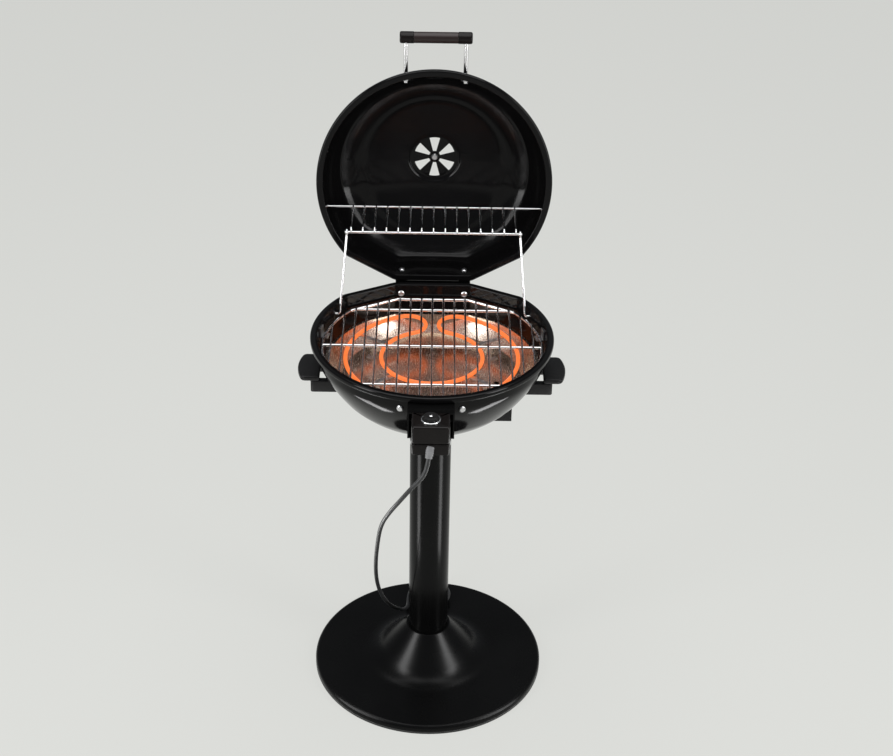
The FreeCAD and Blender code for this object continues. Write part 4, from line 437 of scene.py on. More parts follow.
for arm_y in (-handle_half, handle_half - arm_wide):
    arm = lens_outline(((arm_in, arm_y, arm_square), (arm_out, arm_y, arm_round),
                        (arm_out, arm_y + arm_wide, arm_round), (arm_in, arm_y + arm_wide, arm_square)))
    block = slab(arm, grip_low.z, grip_foot + arm_join, arm_edge)
    bedded = np.sqrt((bowl_sphere + arm_gap) ** 2 - (sphere_middle - block[..., 2]) ** 2 - block[..., 1] ** 2)
    block[..., 0] = np.maximum(block[..., 0], bedded)
    handle_sheets.append(block)
sides = {"right": 1.0, "left": -1.0}
for name, side in sides.items():
    handle = piece(name + "_grip_moulding", "stand", flipped(handle_sheets, side))
    coat(handle, moulded, "black_plastic", name + "_handle")
dress(zinc, "zinc_steel", "handle_screws")


# Grease cup: a black moulded box under the right of the bowl, below the drain hole,
# with its open top up against the bowl.

dress(moulded, "black_plastic", "grease_cup")


# Reflector pan: bright rolled aluminium sheet pressed into a dish, dropped into the bowl under the element
# and hung by its lip on the tapering wall.

def rolled_aluminium():
    """Bright rolled sheet: fine rolling lines and faint heat tint."""
    material, shader, draw = finish("rolled_aluminium", (0.86, 0.83, 0.78), 0.22, Metallic=1.0)
    lines = grain(draw, 60.0, 3.0, (18.0, 1.0, 1.0))
    heat = grain(draw, 9.0, 3.0)
    feed(shader, Roughness=0.16 + lines * 0.18,
         Base_Color=tint(draw, heat, (0.82, 0.76, 0.68), (0.52, 0.41, 0.32)),
         Normal=bump(draw, lines, 0.00006))
    return material


aluminium = rolled_aluminium()
dress(aluminium, "reflector", "reflector_pan")


# Heating element: a sheathed tube in two nested loops on four stands, glowing when it is on.
# Its cold ends pass through ceramic bushes in the bowl's wall to the terminal pins.

def glowing_sheath():
    """Oxidised steel sheath: dull brown where cold, orange where the wire inside heats it."""
    material, shader, draw = finish("glowing_sheath", (0.10, 0.045, 0.03), 0.55, Metallic=0.4,
                                    Emission_Strength=1.0)
    cold_y, hot_y = -0.168, -0.120
    scale = grain(draw, 160.0, 4.0)
    place = draw.node("SeparateXYZ", {}, {"Vector": draw.node("TexCoord", {}, {}, 3)}, 1)
    warm = draw.node("MapRange", {}, {"Value": place, "From Min": cold_y, "From Max": hot_y})
    feed(shader, Base_Color=tint(draw, scale, (0.06, 0.03, 0.022), (0.16, 0.07, 0.045)),
         Emission_Color=tint(draw, warm * (0.75 + scale * 0.5), (0.0, 0.0, 0.0), (1.0, 0.20, 0.035)),
         Normal=bump(draw, scale, 0.0001))
    return material


def tube(path, radius, up, columns=16, caps=True):
    """A round section carried along a flat path, square to it, with coned ends or closed on itself."""
    ahead = np.gradient(path, axis=0)
    if not caps:
        ahead[0] = ahead[-1] = path[1] - path[-2]
    ahead /= np.linalg.norm(ahead, axis=1)[:, None]
    aside = np.cross(ahead, np.array(up, float))
    aside /= np.linalg.norm(aside, axis=1)[:, None]
    over = np.cross(aside, ahead)
    girth = np.full(len(path), radius)
    if caps:
        cap_rows = 4
        narrow = radius * np.sin(np.linspace(0, np.pi / 2, cap_rows + 1)[:-1])
        inward = narrow[:, None] / 2
        path = np.concatenate([path[0] + ahead[0] * inward, path[1:-1], path[-1] - ahead[-1] * inward[::-1]])
        held = np.clip(np.arange(1 - cap_rows, len(aside) + cap_rows - 1), 0, len(aside) - 1)
        aside, over = aside[held], over[held]
        girth = np.concatenate([narrow, girth[1:-1], narrow[::-1]])
    angle = np.linspace(0, 2 * np.pi, columns, endpoint=False)[None, :, None]
    section = aside[:, None] * np.cos(angle) + over[:, None] * np.sin(angle)
    return path[:, None] + girth[:, None, None] * section


def arc(middle, radius, start, stop, height, count=24):
    """Points on a level arc, angles in radians."""
    angle = np.linspace(start, stop, count)
    return np.stack([middle[0] + radius * np.cos(angle), middle[1] + radius * np.sin(angle),
                     np.full(count, height)], -1)


def straight(start, stop, count=10):
    """Points on a straight line."""
    return np.array(start) + (np.array(stop) - np.array(start)) * np.linspace(0, 1, count)[:, None]


glow = glowing_sheath()
# Cream glazed ceramic with fine specks.
ceramic = mottled("glazed_ceramic", (0.80, 0.77, 0.70), 0.2, (0.15, 0.15), (0.72, 0.68, 0.60),
                  (0.86, 0.83, 0.77), (700.0, 2.0))
upright = (0, 0, 1)
sheath_low, sheath_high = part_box("heating_element")
sheath_radius = (sheath_high.z - sheath_low.z) / 2
element_z = sheath_low.z + sheath_radius
outer_loop, inner_loop, turn_back = sheath_high.x - sheath_radius, 0.085, math.radians(69.0)
lead_half, lead_bend = 0.015, 0.020
bend_x = lead_half + lead_bend
bend_y = -math.sqrt((outer_loop + lead_bend) ** 2 - bend_x ** 2)
touch = math.atan2(bend_y, bend_x)
half_loop, middle_loop = (outer_loop - inner_loop) / 2, (outer_loop + inner_loop) / 2
turn_middle = (middle_loop * math.cos(turn_back), middle_loop * math.sin(turn_back))
right_path = np.concatenate([
    straight((lead_half, sheath_low.y, element_z), (lead_half, bend_y, element_z), 9)[:-1],
    arc((bend_x, bend_y), lead_bend, math.pi, touch + math.pi, element_z, 10)[:-1],
    arc((0, 0), outer_loop, touch, turn_back, element_z, 60)[:-1],
    arc(turn_middle, half_loop, turn_back, turn_back + math.pi, element_z, 24)[:-1],
    arc((0, 0), inner_loop, turn_back, -math.pi / 2, element_z, 48)])
left_path = right_path[-2::-1] * np.array([-1, 1, 1])
sheath = tube(np.concatenate([right_path, left_path]), sheath_radius, upright, 20)
coat(piece("element_sheath_tube", "stand", [sheath]), glow, "element_sheath", "heating_element")
dress(zinc, "zinc_steel", "element_stands", "terminal_pins", "terminal_bracket", "front_bolts", "grate_rests")
dress(ceramic, "ceramic", "element_bushings")


# Cooking grate: a chromed ring of wire in the bowl's shape, with bars from front to back
# welded on top of it and on three cross wires.

# Bright chrome on drawn wire: a mirror with faint heat haze.
chrome = mottled("chrome_plate", (0.80, 0.80, 0.82), 0.1, (0.06, 0.12), (0.86, 0.86, 0.88),
                 (0.70, 0.69, 0.69), (80.0, 3.0), Metallic=1.0)


def spread(count, pitch):
    """Places at an even pitch about the middle."""
    return (np.arange(count) - (count - 1) / 2) * pitch


grate_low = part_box("grate_ring")[0]
ring_wire, bar_wire, cross_wire, pressed = 0.00275, 0.00175, 0.0024, 0.0009
grate_z = grate_low.z + ring_wire
grate_inset, bar_pitch, bar_count, cross_reach = 0.019, 0.0188, 19, 0.122
ring_path = plan_ring(grate_inset, grate_z)
ring_path = np.concatenate([ring_path, ring_path[:1]])
wires = [tube(ring_path, ring_wire, upright, 16, caps=False)]
bar_z = grate_z + ring_wire + bar_wire - pressed
grate_edge = ring_path[:, :2]
rear_edge = grate_edge[grate_edge[:, 1] > 0]
rear_edge = rear_edge[np.argsort(rear_edge[:, 0])]
for x in spread(bar_count, bar_pitch):
    front = -math.sqrt((rim_radius - grate_inset) ** 2 - x * x)
    rear = np.interp(x, rear_edge[:, 0], rear_edge[:, 1])
    wires.append(tube(straight((x, front, bar_z), (x, rear, bar_z), 12), bar_wire, upright, 12))
side_edge = grate_edge[grate_edge[:, 0] > 0]
side_edge = side_edge[np.argsort(side_edge[:, 1])]
cross_z = bar_z - bar_wire - cross_wire + pressed
for y in (-cross_reach, 0.0, cross_reach):
    half = np.interp(y, side_edge[:, 1], side_edge[:, 0])
    wires.append(tube(straight((-half, y, cross_z), (half, y, cross_z), 12), cross_wire, upright, 12))
coat(piece("grate_wires", "stand", wires), chrome, "chrome_wire",
     "grate_ring", "grate_cross_wires", "grate_bars")


# Terminal shroud: a folded steel box, powder-coated, on the front of the bowl round the terminal pins.
# The control's nose goes into it.

dress(satin_black, "black_powder", "terminal_shroud")


# Control: a two-part black moulding, screwed together, with the dial on top in a plated ring.
# The probe behind it goes in over the terminals.

# Gloss black moulding with a brown depth and light polishing swirls.
gloss_black = mottled("gloss_moulding", (0.006, 0.005, 0.005), 0.2, (0.12, 0.14), (0.0045, 0.0038, 0.0037),
                      (0.010, 0.0082, 0.0078), (45.0, 4.0), Specular_IOR_Level=0.15)
# Silver-plated plastic trim: soft satin metal.
silver = mottled("plated_trim", (0.72, 0.72, 0.73), 0.2, (0.14, 0.16), (0.66, 0.66, 0.67), (0.80, 0.80, 0.80),
                 (300.0, 2.0), Metallic=1.0)


def fluted(profile, flutes, depth, steps=216):
    """A turned profile with flutes round its wall: r less depth times a cosine, fading towards the axis."""
    sheet = turned(profile, steps)
    angle = np.linspace(0, 2 * np.pi, steps, endpoint=False)
    share = (profile[:, :1] / profile[:, 0].max()) ** 6
    drawn = 1 - share * depth / profile[:, 0].max() * (0.5 + 0.5 * np.cos(flutes * angle))
    return sheet * np.stack([drawn, drawn, np.ones_like(drawn)], -1)


def case_plan(half, rear, front, corner):
    """The case's outline from above: square at the rear and rounded in front."""
    square = 0.001
    return lens_outline(((-half, rear, square), (-half, front, corner), (half, front, corner),
                         (half, rear, square)))


lower_low, lower_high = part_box("control_lower_case")
upper_low, upper_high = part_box("control_upper_case")
shroud_low, shroud_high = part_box("terminal_shroud")
case_half, case_round, nose_half, nose_round, nose_play, parting = 0.030, 0.006, 0.030, 0.001, 0.003, 0.0003
lower_edge, upper_edge, nose_edge = 0.0022, 0.0032, 0.0005
case_outline = case_plan(case_half, shroud_low.y, lower_low.y, case_round)
nose_outline = case_plan(nose_half, lower_high.y, shroud_low.y, nose_round)
lower_top, upper_foot = lower_high.z - parting, upper_low.z + parting
case_sheets = {
    "lower": [slab(case_outline, lower_low.z, lower_top, lower_edge),
              slab(nose_outline, shroud_low.z + nose_play, lower_top, nose_edge)],
    "upper": [slab(case_outline, upper_foot, upper_high.z, upper_edge),
              slab(nose_outline, upper_foot, shroud_high.z - nose_play, nose_edge)]}
for name, sheets in case_sheets.items():
    coat(piece("control_%s_moulding" % name, "stand", sheets), gloss_black, "gloss_black_plastic",
         "control_%s_case" % name)

dial_middle = np.array([*joints["dial_turn"]["pos_m"][:2], upper_high.z])
bezel_high, knob_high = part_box("dial_bezel")[1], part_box("dial_knob")[1]
bezel_out, bezel_tall = bezel_high.x, bezel_high.z - upper_high.z
dial_radius, knob_tall = knob_high.x, knob_high.z - upper_high.z
dial_play, shaft, flutes, flute_deep = 0.0004, 0.003, 30, 0.0007
bezel_in = dial_radius + dial_play
bezel_line = soft(((bezel_in, 0, 0), (bezel_out, 0, 0.0004), (bezel_out, bezel_tall, 0.0014),
                   (bezel_in, bezel_tall, 0.0007), (bezel_in, 0, 0)), 8)
coat(piece("dial_ring", "stand", [turned(bezel_line) + dial_middle]), silver, "silver_trim", "dial_bezel")
knob_line = soft(((0, dial_play, 0), (dial_radius, dial_play, 0.0005),
                  (dial_radius * 0.92, knob_tall * 0.85, 0.0008), (dial_radius * 0.8, knob_tall, 0.0012),
                  (shaft * 1.25, knob_tall, 0.0004), (shaft * 1.05, knob_tall * 0.88, 0),
                  (0, knob_tall * 0.88, 0)), 8)
knob = fluted(knob_line, flutes, flute_deep) + dial_middle
coat(piece("dial_fluted_knob", "dial", [knob]), moulded, "black_plastic", "dial_knob")
cap_line = soft(((0, knob_tall * 0.86, 0), (shaft, knob_tall * 0.86, 0.0003), (shaft, knob_tall, 0.0008),
                 (0, knob_tall * 1.1, 0)), 8)
cap = turned(cap_line, 64) + dial_middle
coat(piece("dial_centre_cap", "dial", [cap]), silver, "silver_trim", "dial_cap")
dress(zinc, "zinc_steel", "case_screws", "probe")


# Lead: a 7 mm jacketed cord from a tapered relief under the control, down past the left of the pole
# to a tied coil behind it on the base, with the plug lying on the coil.

# Grey relief moulding, slightly waxy.
relief_grey = mottled("grey_moulding", (0.20, 0.20, 0.205), 0.45, (0.35, 0.2), (0.16, 0.16, 0.165),
                      (0.25, 0.25, 0.255), (90.0, 3.0))
# Smooth cord jacket with a soft sheen and faint handling marks.
jacket = mottled("cord_jacket", (0.02, 0.02, 0.021), 0.38, (0.3, 0.16), (0.015, 0.015, 0.016),
                 (0.032, 0.032, 0.033), (70.0, 3.0), (900.0, 0.00006))
# Bare brass blades, rubbed bright along their faces.
brass = mottled("blade_brass", (0.75, 0.56, 0.26), 0.3, (0.2, 0.2), (0.80, 0.62, 0.32), (0.60, 0.43, 0.19),
                (220.0, 3.0, (1.0, 4.0, 1.0)), Metallic=1.0)


def carried(sheet, root, axis):
    """Stands a form that was made about the upright axis on root along another axis."""
    axis = np.array(axis, float) / np.linalg.norm(axis)
    aside = np.cross(axis, np.roll(np.eye(3)[np.argmax(np.abs(axis))], 1))
    aside /= np.linalg.norm(aside)
    across = np.cross(axis, aside)
    return np.array(root) + sheet[..., :1] * aside + sheet[..., 1:2] * across + sheet[..., 2:] * axis


cord_radius = 0.0035
cord_size = 2 * cord_radius
relief_root = np.array([0.0, -0.2645, 0.653])
lean, tilt, relief_long = math.radians(8.0), math.radians(25.0), 0.020
relief_axis = np.array([-math.sin(lean), -math.cos(lean) * math.sin(tilt), -math.cos(lean) * math.cos(tilt)])
lead_start = relief_root + relief_axis * relief_long
relief_wide, relief_narrow, rib_deep, RELIEF_RIBS = 0.008, 0.0055, 0.0005, 5
down = np.linspace(0, 1, 90)
ribs = rib_deep * (np.sin(RELIEF_RIBS * 2 * np.pi * down) > 0.5)
ribbed = relief_wide + (relief_narrow - relief_wide) * down - ribs
relief_line = np.concatenate([[[0, 0]], np.stack([ribbed, down * relief_long], -1), [[0, relief_long]]])
coat(piece("relief_moulding", "stand", [carried(turned(relief_line, 64), relief_root, relief_axis)]),
     relief_grey, "grey_plastic", "strain_relief")
lead_route = np.array((
    (-0.012, -0.283, 0.605), (-0.028, -0.281, 0.585), (-0.046, -0.275, 0.556), (-0.064, -0.258, 0.520),
    (-0.079, -0.230, 0.474), (-0.086, -0.188, 0.405), (-0.091, -0.141, 0.330), (-0.092, -0.093, 0.258),
    (-0.088, -0.045, 0.192), (-0.080, -0.002, 0.137), (-0.070, 0.033, 0.095), (-0.058, 0.061, 0.066),
    (-0.048, 0.082, 0.046), (-0.041, 0.112, 0.027)))
coil_step, coil_middle, coil_back = 0.0077, 0.035, 0.152
coil_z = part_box("cord_coil")[0].z + cord_radius
coil_outer = coil_middle + coil_step / 2
plug_z = (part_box("plug_body")[0].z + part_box("plug_body")[1].z) / 2


def coil_place(turn):
    """Radius and height of the coil's line by turns: in, half a turn's climb, out, and up to the plug."""
    climb, out, tail = np.clip(turn - 1, 0, 0.5), np.clip(turn - 1.5, 0, 1), np.clip((turn - 2.5) * 2, 0, 1)
    tuck = 0.009
    radius = (coil_outer - coil_step * np.clip(turn, 0, 1) - 0.25 * coil_step * np.sin(2 * np.pi * climb)
              + coil_step * out + 0.3 * coil_step * np.sin(np.pi * tail) - tuck * tail ** 3)
    height = (coil_z + coil_step * (0.5 - 0.5 * np.cos(2 * np.pi * climb))
              + (plug_z - coil_z - coil_step) * tail * tail * (3 - 2 * tail))
    return radius, height


def tail_place(back):
    """Where the coil's line runs at its last points, counted from its end, at the plug's height."""
    return np.array([coil_radius[-back] * math.cos(around[-back]),
                     coil_back + coil_radius[-back] * math.sin(around[-back]), plug_z])


PER_TURN = 16
turns = np.arange(0, 3 * PER_TURN + 1) / PER_TURN
coil_radius, coil_height = coil_place(turns)
around = math.pi - 2 * math.pi * turns
# The curve runs inside the corners of its points, so these are drawn out by what it cuts off.
drawn_out = coil_radius / (0.75 + 0.25 * math.cos(2 * math.pi / PER_TURN))
coil_points = np.stack([drawn_out * np.cos(around), coil_back + drawn_out * np.sin(around), coil_height], -1)
coil_start = np.array([-coil_outer, coil_back, coil_z])
coil_entry = coil_start - np.array([0, cord_size, 0])
tail_end = tail_place(1)
heading = tail_end - tail_place(2)
heading /= np.linalg.norm(heading)
straight_out = 2.3 * cord_size
line = np.concatenate([
    lead_start[None], (lead_start + relief_axis * straight_out)[None], lead_route,
    (coil_entry - np.array([0, 2 * cord_size, 0]))[None], coil_entry[None], coil_points[1:-1],
    tail_end[None], (tail_end + heading * cord_size)[None]])
curve = bpy.data.curves.new("lead_cord", "CURVE")
curve.dimensions = "3D"
curve.bevel_depth = 1.0
curve.bevel_resolution = 5
curve.use_fill_caps = True
spline = curve.splines.new("NURBS")
spline.points.add(len(line) - 1)
spline.points.foreach_set("co", np.concatenate([line, np.ones((len(line), 1))], 1).ravel())
spline.points.foreach_set("radius", np.full(len(line), cord_radius))
spline.order_u = 3
spline.use_endpoint_u = True
spline.resolution_u = 8
lead = shown("lead_cord", curve)
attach(lead, "stand")
coat(lead, jacket, "cord_jacket", "cord_run", "cord_coil")
dress(moulded, "black_plastic", "cord_tie")
dress(rubber, "black_rubber", "plug_body")
dress(brass, "plug_brass", "plug_pins")


# Hinge: two folded steel leaves, powder-coated and screwed to the rear walls of bowl and lid.
# Their knuckles turn on one long pin below the rims' joint.

dress(satin_black, "black_powder", "hinge_bowl_leaf", "hinge_lid_leaf")
dress(zinc, "zinc_steel", "hinge_bowl_screws", "hinge_pin", "hinge_lid_screws")


# Lid: a second pressing in the bowl's plan, straight at the side, round at the shoulder, with a raised crown
# and a flat seat for the vent. It is worked out closed, and turned open about the hinge.

hinge = joints["lid_hinge"]
hinge_point = np.array(hinge["pos_m"])
open_angle = math.radians(hinge["range_deg"][1])
lid_gap = 0.001
lid_foot = rim_top + lid_gap
lid_depth, lid_side, crown_radius, crown_side = 0.108, 0.020, 0.122, 0.090
vent_middle, vent_seat, vent_reach, vent_hub = np.array([0.0, -0.014]), 0.046, 0.036, 0.010


def opened(points):
    """Turns points of the closed lid about the hinge to where it stands open."""
    y, z = points[..., 1] - hinge_point[1], points[..., 2] - hinge_point[2]
    turned_y = y * math.cos(open_angle) + z * math.sin(open_angle)
    turned_z = z * math.cos(open_angle) - y * math.sin(open_angle)
    return np.stack([points[..., 0], hinge_point[1] + turned_y, hinge_point[2] + turned_z], -1)


def dome(radius, inset):
    """Height of the lid over its foot at a radius: an arc up the shoulder, then the arc of the crown."""
    wall = rim_radius - flange_reach - inset
    ring_z, top = crown_side - inset, lid_depth - inset
    bend = ((wall - crown_radius) ** 2 + (ring_z - lid_side) ** 2) / (2 * (wall - crown_radius))
    shoulder = lid_side + np.sqrt(np.maximum(bend ** 2 - np.maximum(radius - wall + bend, 0) ** 2, 0))
    sag = top - ring_z
    crown_arc = (crown_radius ** 2 + sag ** 2) / (2 * sag)
    crown = top - crown_arc + np.sqrt(crown_arc ** 2 - np.minimum(radius, crown_radius) ** 2)
    return lid_foot + np.where(radius < crown_radius, crown, shoulder)


def lid_skin(inset, foot, rings=70, walls=24):
    """From the vent's seat out over the crown and shoulder to the wall, then down the wall."""
    edge = plan_points - plan_normals * inset
    facing = np.arctan2(edge[:, 1] - vent_middle[1], edge[:, 0] - vent_middle[0])
    seat = vent_middle + vent_seat * np.stack([np.cos(facing), np.sin(facing)], -1)
    share = np.linspace(0, 1, rings)[:, None, None]
    flat = seat + (edge - seat) * share
    height = dome(np.linalg.norm(flat, axis=-1), inset - flange_reach)
    lower = np.linspace(0, 1, walls)[1:, None]
    wall_height = height[-1] + (foot - height[-1]) * lower
    wall = np.concatenate([np.repeat(edge[None], walls - 1, 0), wall_height[..., None]], -1)
    whole = np.concatenate([np.concatenate([flat, height[..., None]], -1), wall])
    return eased(eased(whole, rings - 12, rings + 10, 30), 4, rings - 14, 12)


lid_outer = lid_skin(flange_reach, lid_foot + flange_thick)
lid_inner = lid_skin(flange_reach + shell_wall, lid_foot + lip_deep)
lid_rim = np.stack([plan_ring(*spot) for spot in bead_line(lid_foot, 1)])
vent_top = lid_foot + lid_depth + shell_wall / 2
seat_facing = np.arctan2(lid_outer[0, :, 1] - vent_middle[1], lid_outer[0, :, 0] - vent_middle[0])


def seat_ring(radius, drop):
    """A level ring about the vent's middle, in step with the lid's own columns."""
    return np.stack([vent_middle[0] + radius * np.cos(seat_facing),
                     vent_middle[1] + radius * np.sin(seat_facing),
                     np.full(len(seat_facing), vent_top - drop)], -1)


seat_dip = 0.0006
seat_over = ((vent_reach, shell_wall), (vent_reach, 0), (vent_seat - 0.0012, 0),
             (vent_seat - 0.0003, seat_dip))
seat_under = ((vent_seat - 0.0015, shell_wall + seat_dip), (vent_seat - 0.0026, shell_wall),
              (vent_reach, shell_wall))
lid_sheet = np.concatenate([[seat_ring(*row) for row in seat_over], lid_outer, lid_rim, lid_inner[::-1],
                            [seat_ring(*row) for row in seat_under]])
VENT_SLOTS, SPOKE_STEPS = 6, 9
spoke_wide, spoke_in, spoke_out = math.radians(30), vent_hub * 0.9, vent_reach * 1.004
reach = np.linspace(spoke_in, spoke_out, SPOKE_STEPS)[:, None]
spoke_height = np.repeat([[vent_top, vent_top - shell_wall]], SPOKE_STEPS, 0).repeat(SPOKE_STEPS, 1)
lid_sheets = [lid_sheet]
hub_line = soft(((0, vent_top, 0), (vent_hub, vent_top, 0.0003), (vent_hub, vent_top - shell_wall, 0.0003),
                 (0, vent_top - shell_wall, 0)), 4)
lid_sheets.append(turned(hub_line, 96) + np.array([*vent_middle, 0]))
for n in range(VENT_SLOTS):
    start = math.pi * 2 * n / VENT_SLOTS - math.pi / 2 + spoke_wide / 2
    swing = np.linspace(start, start + spoke_wide, SPOKE_STEPS)
    swing = np.concatenate([swing, swing[::-1]])
    lid_sheets.append(np.stack([vent_middle[0] + reach * np.cos(swing),
                                vent_middle[1] + reach * np.sin(swing), spoke_height], -1))
lid = piece("lid_pressing", "lid", [opened(sheet) for sheet in lid_sheets], 60.0)
coat(lid, enamel, "black_enamel", "lid_shell", "lid_rim")


# Vent: a slotted damper disc outside the lid, enamelled as the lid is. It turns on a rivet,
# by a small moulded knob, over the lid's own slots.

dress(enamel, "black_enamel", "vent_damper")
dress(zinc, "zinc_steel", "vent_rivet")
dress(moulded, "black_plastic", "damper_knob")


# Lid handle: a varnished brown grip between gloss end caps on two chromed posts.
# Nuts inside the lid hold the posts.

# Dark brown varnish over a grain along the grip's length.
figure = (90.0, 4.0, (0.12, 1.0, 1.0))
varnish = mottled("grip_varnish", (0.016, 0.010, 0.0095), 0.3, (0.24, 0.16), (0.009, 0.006, 0.0055),
                  (0.026, 0.016, 0.0145), figure, (*figure, 0.00006), Specular_IOR_Level=0.35)
bar_low, bar_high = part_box("lid_grip")
bar_half, bar_radius = bar_high.x, (bar_high.z - bar_low.z) / 2
bar_middle = np.array([0, (bar_low.y + bar_high.y) / 2, (bar_low.z + bar_high.z) / 2])
cap_long, cap_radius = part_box("grip_end_caps")[1].x - bar_half, bar_radius * 1.06
bar_line = soft(((0, -bar_half, 0), (bar_radius, -bar_half, 0.0004), (bar_radius, bar_half, 0.0004),
                 (0, bar_half, 0)))
bar = carried(turned(bar_line, 72), bar_middle, (1, 0, 0))
coat(piece("lid_grip_bar", "lid", [bar]), varnish, "gloss_black_plastic", "lid_grip")
cap_gap = 0.0001
end_line = soft(((0, cap_gap, 0), (cap_radius, cap_gap, 0.0008), (cap_radius, cap_long, 0.003),
                 (0, cap_long, 0)), 10)
ends = [carried(turned(end_line, 72), bar_middle + np.array([side * bar_half, 0, 0]), (side, 0, 0))
        for side in sides.values()]
coat(piece("lid_grip_ends", "lid", ends), gloss_black, "gloss_black_plastic", "grip_end_caps")
dress(chrome, "chrome_wire", "handle_posts")
dress(zinc, "zinc_steel", "handle_nuts")


# Warming rack: chromed wires on a rear rod in the lid and a front bar in the eyes of two legs,
# so that it stays level as the lid swings.

leg_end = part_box("rack_right_leg")[1].x
leg_inset, leg_lean, bar_past_eye, wire_gap = 0.0105, 0.012, 0.004, 0.0004
leg_foot = leg_end - leg_inset
leg_head = leg_foot - leg_lean
rack_half, rod_half = leg_head + bar_past_eye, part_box("rack_rods")[1].x
rod_wire, rack_wire, wire_pitch, wire_bend = 0.002, 0.0015, 0.020, 0.005
wire_count = 2 * int((leg_head - rod_wire - rack_wire - wire_gap) // wire_pitch) + 1
rear_rod = np.array(joints["rack_pivot"]["pos_m"])
leg_pivot = np.array(joints["leg_pivot"]["pos_m"])
front_bar = rear_rod + leg_pivot - hinge_point
wire_z = rear_rod[2] + rod_wire + rack_wire - pressed
rods = [tube(straight((-half, *place[1:]), (half, *place[1:])), rod_wire, upright, 14)
        for half, place in ((rod_half, rear_rod), (rack_half, front_bar))]
quarter = np.linspace(0, np.pi / 2, 9)
for x in spread(wire_count, wire_pitch):
    knee = np.stack([np.full_like(quarter, x), front_bar[1] + wire_bend * (1 - np.sin(quarter)),
                     wire_z - wire_bend * (1 - np.cos(quarter))], -1)
    path = np.concatenate([straight((x, rear_rod[1] + rod_wire, wire_z), knee[0])[:-1], knee,
                           straight(knee[-1], (x, front_bar[1], front_bar[2]), 4)[1:]])
    rods.append(tube(path, rack_wire, (1, 0, 0), 12))
coat(piece("rack_welded_wires", "rack", rods), chrome, "chrome_wire", "rack_rods", "rack_wires")


# Rack legs: two chromed wires, each with an eye round the front bar and a foot bent out into the bowl's wall.
# They swing with the lid and carry the rack's front.

eye_play, bend_share = 0.0004, 0.45
eye_ring = 2 * rod_wire + eye_play
eye = np.array([leg_head, *front_bar[1:]])
ankle = np.array([leg_foot, *leg_pivot[1:]])
foot = np.array([leg_end, *leg_pivot[1:]])
lean_up = (eye - ankle) / np.linalg.norm(eye - ankle)
bend_long = bend_share * np.linalg.norm(foot - ankle)
sweep = np.linspace(0, 1, 9)[:, None]
corner = ((1 - sweep) ** 2 * (ankle + np.array([bend_long, 0, 0])) + 2 * sweep * (1 - sweep) * ankle
          + sweep ** 2 * (ankle + lean_up * bend_long))
shank = np.concatenate([straight(foot, corner[0], 4)[:-1], corner,
                        straight(corner[-1], eye - lean_up * eye_ring, 12)[1:]])
around_eye = np.linspace(0, 2 * np.pi, 41)
ring = np.stack([np.full_like(around_eye, eye[0]), eye[1] + eye_ring * np.cos(around_eye),
                 eye[2] + eye_ring * np.sin(around_eye)], -1)
leg_sheets = [tube(shank, rod_wire, np.cross((1.0, 0, 0), lean_up), 14),
              tube(ring, rod_wire, (1, 0, 0), 14, caps=False)]
for name, side in sides.items():
    leg = piece(name + "_leg_wire", "legs", flipped(leg_sheets, side))
    coat(leg, chrome, "chrome_wire", "rack_%s_leg" % name)


# Stage: a pale floor that runs out of view, two tall soft lights in front and one overhead, two narrow ones
# beside the pole that show only in reflections, and the camera where the photograph was taken.

floor_mesh = bpy.data.meshes.new("floor")
floor_half = 14.0
floor_corners = [(x * floor_half, y * floor_half, 0) for x, y in ((-1, -1), (1, -1), (1, 1), (-1, 1))]
floor_mesh.from_pydata(floor_corners, [], [(0, 1, 2, 3)])
floor = shown("floor", floor_mesh)
pale = (0.701, 0.708, 0.680)
floor_paint, floor_shader, draw = finish("floor_paint", pale, 0.9, Specular_IOR_Level=0.0)
floor_mesh.materials.append(floor_paint)
seen, mirrored, let_through = (draw.node("LightPath", {}, {}, "Is %s Ray" % kind)
                               for kind in ("Camera", "Glossy", "Transmission"))
evenness = 0.86
glow_floor = draw.node("Emission", {}, {"Color": (*pale, 1), "Strength": 1.0})
painted = Value(floor_paint.node_tree, floor_shader.outputs[0])
mixed = draw.node("MixShader", {}, {0: (seen + mirrored + let_through) * evenness, 1: painted, 2: glow_floor})
output = floor_paint.node_tree.nodes["Material Output"]
floor_paint.node_tree.links.new(mixed.socket, output.inputs["Surface"])

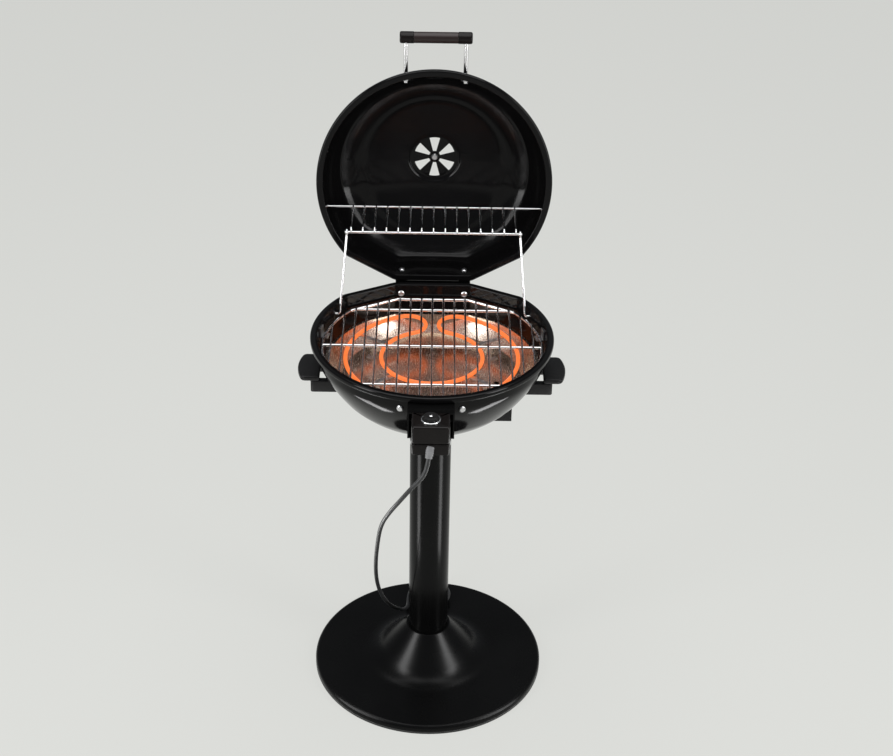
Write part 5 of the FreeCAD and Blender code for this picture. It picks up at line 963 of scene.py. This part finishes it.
world = bpy.data.worlds.new("studio")
bpy.context.scene.world = world
world.use_nodes = True
background = world.node_tree.nodes["Background"].inputs
background["Color"].default_value = (0.9, 0.95, 1.0, 1)
background["Strength"].default_value = 0.22


def soft_light(name, place, aim, width, height, power):
    """A rectangular soft light that faces a point."""
    lamp = bpy.data.lights.new(name, "AREA")
    lamp.shape = "RECTANGLE"
    lamp.size = width
    lamp.size_y = height
    lamp.energy = power
    made = shown(name, lamp)
    made.location = place
    away = np.array(place) - np.array(aim)
    made.rotation_euler = (math.atan2(math.hypot(away[0], away[1]), away[2]), 0,
                           math.atan2(away[1], away[0]) + math.pi / 2)
    return made


soft_light("left_light", (-2.0, -1.2, 1.4), (0, 0, 0.6), 0.7, 1.9, 38.0)
soft_light("right_light", (2.0, -1.2, 1.4), (0, 0, 0.6), 0.7, 1.9, 38.0)
soft_light("top_light", (0, 0.1, 3.0), (0, 0.1, 0), 2.6, 2.6, 60.0)
for name, side in sides.items():
    strip = soft_light(name + "_strip", (side * 0.30, -0.18, 0.25), (0, 0, 0.25), 0.10, 0.46, 1.3)
    strip.visible_camera = strip.visible_diffuse = False

FRAME_WIDTH, FOCAL_PIXELS, MIDDLE_COLUMN = 893, 1800.0, 431.5
camera = bpy.data.cameras.new("camera")
camera.sensor_width = 36.0
camera.lens = FOCAL_PIXELS * camera.sensor_width / FRAME_WIDTH
camera.shift_x = (FRAME_WIDTH / 2 - MIDDLE_COLUMN) / FRAME_WIDTH
camera.clip_end = 60.0
viewer = shown("camera", camera)
viewer.location = (0.0, -2.587, 2.213)
pitch, roll = math.radians(31.73), math.radians(0.8)
half_rise, half_roll = (math.pi / 2 - pitch) / 2, roll / 2
viewer.rotation_mode = "QUATERNION"
viewer.rotation_quaternion = (
    math.cos(half_rise) * math.cos(half_roll), math.sin(half_rise) * math.cos(half_roll),
    -math.sin(half_rise) * math.sin(half_roll), math.cos(half_rise) * math.sin(half_roll))
bpy.context.scene.camera = viewer
bpy.context.scene.view_settings.view_transform = "Standard"
